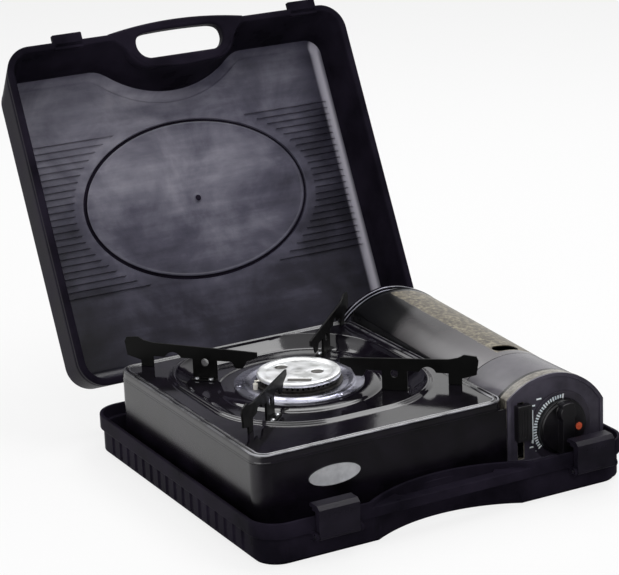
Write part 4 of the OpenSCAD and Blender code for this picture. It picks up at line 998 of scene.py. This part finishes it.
UNDER_EDGE = [(0.7, 78.05), (1.2, 78.3), (1.2, 82.2), (1.6, 83.3), (2.6, 83.8), (5.0, 83.8)]
UNDER_WELL = [(-5.6, 83.8), (-1.2, 83.6), (0.2, 82.2), (5.8, 76.0), (7.6, 75.3), (12.0, 75.3)]
UNDER_SEAT = [(75.2, 75.3), (72.2, 75.6), (70, 76.9), (62, 77.7), (49, 77.7), (47.0, 77.7)]

top_side = [seat_ring(r, z) for r, z in SEAT] + [plate_ring(well_plan, i, z) for i, z in WELL_SLOPE]
edge_side = [plate_ring(plate_plan, i, z) for i, z in EDGE]
# The well's beads stay clear of the edge bead where the two come close.
FREE_RINGS, TOP_GAP, UNDER_GAP = 6, 0.12, 0.3
limit = edge_side[0][0] - 0.1
top_side = [(np.minimum(r, limit - TOP_GAP * (len(top_side) - k)), z) if k >= len(SEAT) + FREE_RINGS else (r, z)
            for k, (r, z) in enumerate(top_side)]
under_edge = [plate_ring(plate_plan, i, z) for i, z in UNDER_EDGE]
under_well = [(np.minimum(r, under_edge[-1][0] - UNDER_GAP * (k + 1)), z)
              for k, (r, z) in enumerate(plate_ring(well_plan, i, z) for i, z in UNDER_WELL)]
plate_stack = top_side + edge_side + under_edge + under_well + [seat_ring(r, z) for r, z in UNDER_SEAT]
# Where the two crests with the painted highlight start and end.
crests = [len(top_side) + k for k in (2, 5, 10, 13)]
plate_rings = [ring_points(BURNER, plate_angles, r, z) for r, z in plate_stack]
top_plate = loft("top_plate_pressing", plate_rings, "loop", crests)
dress(top_plate, (gloss_enamel, bead_highlight_enamel, gloss_enamel, bead_highlight_enamel, gloss_enamel),
      "stove", "black_enamel", "top_plate")
print("top plate faces:", len(top_plate.data.polygons))

# %% [markdown]
# The rest of the shells are pressed or moulded blocks whose shape the frame already has.
# Each gets a softened copy: a larger radius on thick plastic, a small one on sheet steel. To
# build them again as lofts would only repeat what the frame has.

# %% Softened shells
SOFT_PIECES = [
    # node, edge radius in mm, body, slot, finish
    ("case_base", 0.9, "case", "case_plastic", black_polypropylene),
    ("stove_body", 0.35, "stove", "black_enamel", body_enamel),
    ("end_housing", 0.5, "stove", "black_enamel", housing_enamel),
    ("rear_bulkhead", 1.2, "stove", "black_enamel", gloss_enamel),
    *[("pan_support_" + corner, 0.4, "stove", "support_enamel", support_enamel)
      for corner in ("front_left", "front_right", "back_left", "back_right")],
    ("latch_left", 0.25, "latch_left_body", "latch_plastic", latch_plastic),
    ("latch_right", 0.25, "latch_right_body", "latch_plastic", latch_plastic),
    ("cartridge_cover", 0.3, "cover", "cover_paint", cover_paint),
    ("control_knob", 0.7, "knob", "knob_plastic", knob_abs),
    ("cartridge_lever", 0.5, "lever", "knob_plastic", knob_abs),
    ("dial_ring", 0.3, "stove", "knob_plastic", dial_print),
]
for node, radius, body, slot, finish in SOFT_PIECES:
    dress(softened(node, radius), finish, body, slot, node)
print("softened pieces:", len(SOFT_PIECES))

# %% [markdown]
# The burner cap is one turned and stamped disc of aluminium. A polar grid gives its height at
# each point: a raised rim, a shallow dish, two round dimples and a stamped rectangle. The
# dimples keep the cap from turning when it is seated. Cutting them out with booleans would
# leave sharp edges, and stamping rounds them, so the height itself takes soft steps.

# %% Burner cap
CAP_R, CAP_TOP, CAP_LOW, CAP_HOLE_R = 37.5, 90.0, 86.0, 0.4
CAP_SPOKES, DISH_RINGS, RIM_RINGS = 216, 84, 36
DISH_R = [0, 4, 6, 8, 27, 29.5, 31, 32.5, 34, 35.5, 36.6, 37.2, 37.5]
DISH_Z = [-0.6, -0.6, -0.7, -0.85, -0.95, -0.9, -0.45, -0.1, 0, -0.03, -0.25, -0.75, -1.4]
DIMPLES, DIMPLE_DEEP = [(-7.9, 18.5, 5.6), (13.5, -9.5, 5.6)], 1.5
STAMP, STAMP_DEEP, STAMP_TURN = (-10.5, -20.5, 10.5, 4.2), 1.3, math.radians(-36)


def eased(share):
    """A step from 0 to 1 with soft ends."""
    share = np.clip(share, 0, 1)
    return share ** 2 * (3 - 2 * share)


def cap_height(x, y):
    """Height of the cap's upper face over a point, from the burner's middle, in mm."""
    z = np.interp(np.hypot(x, y), DISH_R, DISH_Z)
    for dx, dy, radius in DIMPLES:
        z = z - DIMPLE_DEEP * eased((radius + 0.5 - np.hypot(x - dx, y - dy)) / 1.1)
    sx, sy, half_l, half_w = STAMP
    along = (x - sx) * math.cos(STAMP_TURN) + (y - sy) * math.sin(STAMP_TURN)
    across = -(x - sx) * math.sin(STAMP_TURN) + (y - sy) * math.cos(STAMP_TURN)
    edge = np.minimum(half_l - np.abs(along), half_w - np.abs(across))
    return CAP_TOP + z - STAMP_DEEP * eased(edge + 0.4)


cap_angles = np.linspace(0, 2 * np.pi, CAP_SPOKES, endpoint=False)
cap_radii = np.concatenate([np.linspace(CAP_HOLE_R, 31, DISH_RINGS), np.linspace(31.3, CAP_R, RIM_RINGS)])
cap_stack = [(r, cap_height(r * np.cos(cap_angles), r * np.sin(cap_angles))) for r in cap_radii]
cap_stack += [(r, np.full(CAP_SPOKES, z)) for r, z in ((CAP_R, 87.4), (CAP_R, 86.5), (CAP_R - 0.4, CAP_LOW),
                                                       (CAP_R - 3, CAP_LOW), (CAP_HOLE_R, CAP_LOW))]
burner_cap = loft("burner_cap_stamped", [
    np.column_stack([BURNER[0] + r * np.cos(cap_angles), BURNER[1] + r * np.sin(cap_angles), z]) for r, z in cap_stack])
dress(burner_cap, polished_aluminium, "stove", "bright_aluminium", "burner_cap")
print("cap faces:", len(burner_cap.data.polygons))

# %% [markdown]
# The dial. A printed arc of short strokes runs round the knob from the off mark to the highest
# flame. One stroke is a thin soft bar, and Geometry Nodes set it on points along the arc. The
# lever's strip and its four marks are the same bar with other sizes.

# %% Dial strokes
KNOB = (127.0, 51.5)
DIAL_Y, STROKE_R, STROKES, DIAL_FROM, DIAL_SWEEP = -139.75, 26.4, 25, 84, 132
LONG_EVERY, LONG_STROKE, SHORT_STROKE = 4, 4.0, 3.1
STRIP_X, STRIP_LOW, STRIP_HIGH, FACE_Y, STRIP_OUT = 98.2, 41.0, 71.0, -138.5, 0.7
LEVER_MARKS = [(0.5, 74.5, 6.0), (7.5, 79.5, 5.0), (0.5, 37.0, 6.0), (6.0, 33.0, 5.0)]  # x from the strip, z, length

angles = [math.radians(DIAL_FROM + DIAL_SWEEP * k / (STROKES - 1)) for k in range(STROKES)]
PRINTED = {
    # name: (points, lengths, turns, width, height)
    "dial_strokes": ([(KNOB[0] + STROKE_R * math.cos(a), DIAL_Y, KNOB[1] + STROKE_R * math.sin(a)) for a in angles],
                     [SHORT_STROKE if k % LONG_EVERY else LONG_STROKE for k in range(STROKES)],
                     [(0, -a, 0) for a in angles], 1.5, 0.6),
    "lever_indicator_strip": ([(STRIP_X, FACE_Y - STRIP_OUT, (STRIP_LOW + STRIP_HIGH) / 2)], [STRIP_HIGH - STRIP_LOW],
                              [(0, math.pi / 2, 0)], 1.7, 2.5),
    "lever_marks": ([(STRIP_X + dx, FACE_Y, z) for dx, z, _ in LEVER_MARKS], [length for _, _, length in LEVER_MARKS],
                    [(0, 0, 0)] * len(LEVER_MARKS), 1.5, 0.5),
}
stroke_tree = bars_tree("dial_strokes_tree", white_print)
for name, (points, lengths, turns, width, height) in PRINTED.items():
    dress(bars(name, stroke_tree, points, lengths, turns, width, height), white_print, "stove", "white_plastic")
print("dial strokes:", STROKES, "lever marks:", len(LEVER_MARKS))

# %% [markdown]
# The rim of the cartridge bay. Its back end has a thicker black rim with two bright wires
# along it, which stand in for the highlight lines on the rim's edges as painted highlights.
# It is a short arc, so its section is carried round an axis, as a press would roll
# it, and where the rim starts it sinks into the bulkhead.

# %% Arcs round the cartridge bay
BAY_AXIS = (115.5, 36.3)
RIM_FROM, RIM_TO, RIM_STEPS = 66, 138, 72
SINK_DEG, SINK_MM = 30, 3.6
RIM_SECTION = [(69.5, 127.2), (74.4, 127.0), (75.1, 127.3), (75.4, 128.0), (75.4, 130.6), (75.1, 131.2),
               (74.4, 131.4), (69.5, 131.4)]
# Painted highlights: bright wires where the rim's edges catch the light.
HIGHLIGHT_WIRES = [("rear_rim_highlight_wire_1", 75.0, 127.1), ("rear_rim_highlight_wire_2", 72.3, 126.3)]
WIRE_R, WIRE_SIDES = 0.65, 10


def arc_band(name, section):
    """Carries a closed section of (radius, y) points round the cartridge's axis, in mm."""
    rings = []
    for turn in np.linspace(RIM_FROM, RIM_TO, RIM_STEPS):
        a, sink = math.radians(turn), SINK_MM * min(max((SINK_DEG - (turn - RIM_FROM)) / SINK_DEG, 0), 1)
        rings.append(np.array([(BAY_AXIS[0] + (r - sink) * math.cos(a), y, BAY_AXIS[1] + (r - sink) * math.sin(a))
                               for r, y in section]))
    return loft(name, rings)


dress(arc_band("rear_bulkhead_rim", RIM_SECTION), gloss_enamel, "stove", "black_enamel")
wire_angles = np.linspace(0, 2 * math.pi, WIRE_SIDES, endpoint=False)
for name, radius, y in HIGHLIGHT_WIRES:
    section = [(radius + WIRE_R * math.cos(t), y + WIRE_R * math.sin(t)) for t in wire_angles]
    dress(arc_band(name, section), plated_steel, "stove", "chrome")
print("rear rim, degrees:", RIM_TO - RIM_FROM)

# %% [markdown]
# The hand slot. The tray has a web with a round-ended slot across its front bay, under the
# lid's own handle. Like the handle it is one closed band of rings, out from the slot's edge
# over the top, and back underneath.

# %% Hand slot in the tray
WEB_CENTRE = (0.0, -152.5)
web_angles = directions(math.atan2(6, 42), 280)
web_slot = box_outline(0, -152.4, 97, 13, 6.4)
web_plan = both(box_outline(0, -150, 168, 21, 1), disc_outline(0, -285.5, 142.5), 1)
WEB_LOW, WEB_HIGH = 24.3, 32.9


def web_ring(shape, inset, z):
    """Ring of the web: the slot's edge or the web's outside."""
    return ring_points(WEB_CENTRE, web_angles, reach(shape, WEB_CENTRE, web_angles, inset), z)


web_rings = [web_ring(web_slot, -i, WEB_HIGH - u) for i, u in ((0, 1.2), (0.1, 0.6), (0.5, 0.15), (1.2, 0))]
web_rings += [web_ring(web_plan, 0, WEB_HIGH), web_ring(web_plan, 0, WEB_LOW), web_ring(web_slot, -1.2, WEB_LOW),
              web_ring(web_slot, 0, WEB_LOW + 1.2)]
tray_web = loft("case_base_hand_web", web_rings, "loop")
dress(tray_web, black_polypropylene, "case", "case_plastic", "case_base")
print("tray web faces:", len(tray_web.data.polygons))

# %% [markdown]
# The frame's own pieces. What is small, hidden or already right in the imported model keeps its
# mesh and only gets its finish. Every finish is a material made above, so that the same metal
# looks the same wherever it is used.

# %% Materials on the frame's own pieces
FINISH = {
    "case_lid": black_polypropylene, "lid_hinge_pins": zinc_steel, "latch_pins": zinc_steel,
    "top_plate": gloss_enamel, "stove_feet": rubber_black, "heat_shield": zinc_steel,
    "front_badge": silver_oval, "support_rivets": zinc_steel, "burner_bowl": cast_aluminium,
    "burner_port_ring": fired_ring, "burner_cap": polished_aluminium, "burner_collar": plated_steel,
    "burner_screws": plated_steel, "mixing_tube": cast_aluminium, "cover_hinge_pins": zinc_steel,
    "cartridge_cradle": zinc_steel, "regulator": cast_aluminium, "cartridge_socket": zinc_steel,
    "control_shaft": zinc_steel, "knob_marker": orange_abs, "igniter": white_nylon,
    "ignition_electrode": glazed_ceramic, "ignition_lead": white_nylon,
}
FINISH.update({node: finish for node, _, _, _, finish in SOFT_PIECES})
for node, finish in FINISH.items():
    for material_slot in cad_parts[node].material_slots:
        material_slot.material = finish
print("finishes set on", len(FINISH), "pieces")

# %% [markdown]
# The stage: a plain pale floor and soft lamps. The floor is nearly white to the camera, so
# the object stands on white as in a catalogue, and it keeps a part of the object's shadow.
# A mirror sees a studio instead: bright behind and to the left, dim at the camera's side.

# %% Floor
FLOOR_HALF = 6.0
LIT_SHARE, MIRROR_SHARE = 0.8, 0.9
BRIGHT_SIDE = (-0.6, 0.8, 0.45)
FLOOR_FADE, SKY_FADE = (-0.1, 0.16), (-0.45, 0.22)
DARK_LEVEL = 0.1


def towards_bright(tree, vector, fade):
    """How white a mirror sees this place. fade: how far towards the bright side it is dark, and then white."""
    along = add(tree, "ShaderNodeVectorMath", {"operation": "DOT_PRODUCT", 0: vector, 1: BRIGHT_SIDE})
    return add(tree, "ShaderNodeMapRange", {"interpolation_type": "SMOOTHSTEP", "Value": along,
                                            **span(*fade, DARK_LEVEL, 1.0)})


def seen_directly(tree):
    """1 for camera and transmission rays, and 1 for mirror rays apart."""
    rays = add(tree, "ShaderNodeLightPath").outputs
    seen = {"operation": "MAXIMUM", 0: rays["Is Camera Ray"], 1: rays["Is Transmission Ray"]}
    return add(tree, "ShaderNodeMath", seen), rays["Is Glossy Ray"]


# White backdrop paper: flat and matt, with a soft shadow left on it.
paper = bpy.data.materials.new("paper_white")
paper.use_nodes = True
paper_tree = paper.node_tree
paper_tree.nodes.clear()
matte = add(paper_tree, "ShaderNodeBsdfDiffuse", {"Color": "#ededed"})
seen, mirrored = seen_directly(paper_tree)
here = add(paper_tree, "ShaderNodeTexCoord").outputs["Object"]
glow = add(paper_tree, "ShaderNodeEmission", {"Strength": 1.0})
glow_mirror = add(paper_tree, "ShaderNodeEmission", {"Strength": towards_bright(paper_tree, here, FLOOR_FADE)})
to_eye, to_mirror = product(paper_tree, seen, LIT_SHARE), product(paper_tree, mirrored, MIRROR_SHARE)
lit = add(paper_tree, "ShaderNodeMixShader", {0: to_eye, 1: matte, 2: glow})
lit_too = add(paper_tree, "ShaderNodeMixShader", {0: to_mirror, 1: lit, 2: glow_mirror})
add(paper_tree, "ShaderNodeOutputMaterial", {"Surface": lit_too})

corners = [(x * FLOOR_HALF, y * FLOOR_HALF, 0) for x, y in ((-1, -1), (1, -1), (1, 1), (-1, 1))]
floor = linked("floor", mesh_of("floor", corners, [(0, 1, 2, 3)]))
floor.data.materials.append(paper)
print("floor, m:", 2 * FLOOR_HALF)

# %% [markdown]
# The light. The air gives an even low level, and four large lamps give each edge its line.
# They are wide, because small lamps leave hard spots on enamel, and their power is such that
# a colour renders about as it is written.

# %% World
AIR_LEVEL = 0.35
bpy.context.scene.view_settings.view_transform = "Standard"
world = bpy.data.worlds.new("studio")
bpy.context.scene.world = world
world.use_nodes = True
sky = world.node_tree
sky.nodes.clear()
soft = add(sky, "ShaderNodeBackground", {"Color": "#ffffff", "Strength": AIR_LEVEL})
white = add(sky, "ShaderNodeBackground", {"Color": "#ffffff", "Strength": 1.0})
heading = add(sky, "ShaderNodeTexCoord").outputs["Generated"]
mirror = add(sky, "ShaderNodeBackground", {"Color": "#ffffff", "Strength": towards_bright(sky, heading, SKY_FADE)})
sky_seen, sky_mirrored = seen_directly(sky)
sky_direct = add(sky, "ShaderNodeMixShader", {0: sky_seen, 1: soft, 2: white})
sky_all = add(sky, "ShaderNodeMixShader", {0: sky_mirrored, 1: sky_direct, 2: mirror})
add(sky, "ShaderNodeOutputWorld", {"Surface": sky_all})
print("air level:", AIR_LEVEL)

# %% Lamps
LAMPS = {
    # name: (place, what it faces, width, height, all in metres, and power in watts)
    "lamp_left": ((-1.7, -0.5, 0.9), (0, 0, 0.1), 1.4, 0.9, 8),
    "lamp_top": ((0.4, 1.15, 1.7), (0, 0, 0.05), 1.8, 0.9, 17),
    "lamp_over": ((0.8, -0.1, 1.75), (0, 0.05, 0.1), 1.2, 0.7, 13),
    "lamp_front": ((-0.5, -1.8, 1.5), (0, 0, 0.15), 1.4, 1.0, 10),
}
for name, (at, towards, width, height, power) in LAMPS.items():
    lamp = linked(name, bpy.data.lights.new(name, "AREA"))
    lamp.data.shape = "RECTANGLE"
    lamp.data.size, lamp.data.size_y, lamp.data.energy = width, height, power
    lamp.location = at
    lamp.rotation_euler = (Vector(towards) - Vector(at)).to_track_quat("-Z", "Y").to_euler()
print("lamps set:", len(LAMPS))
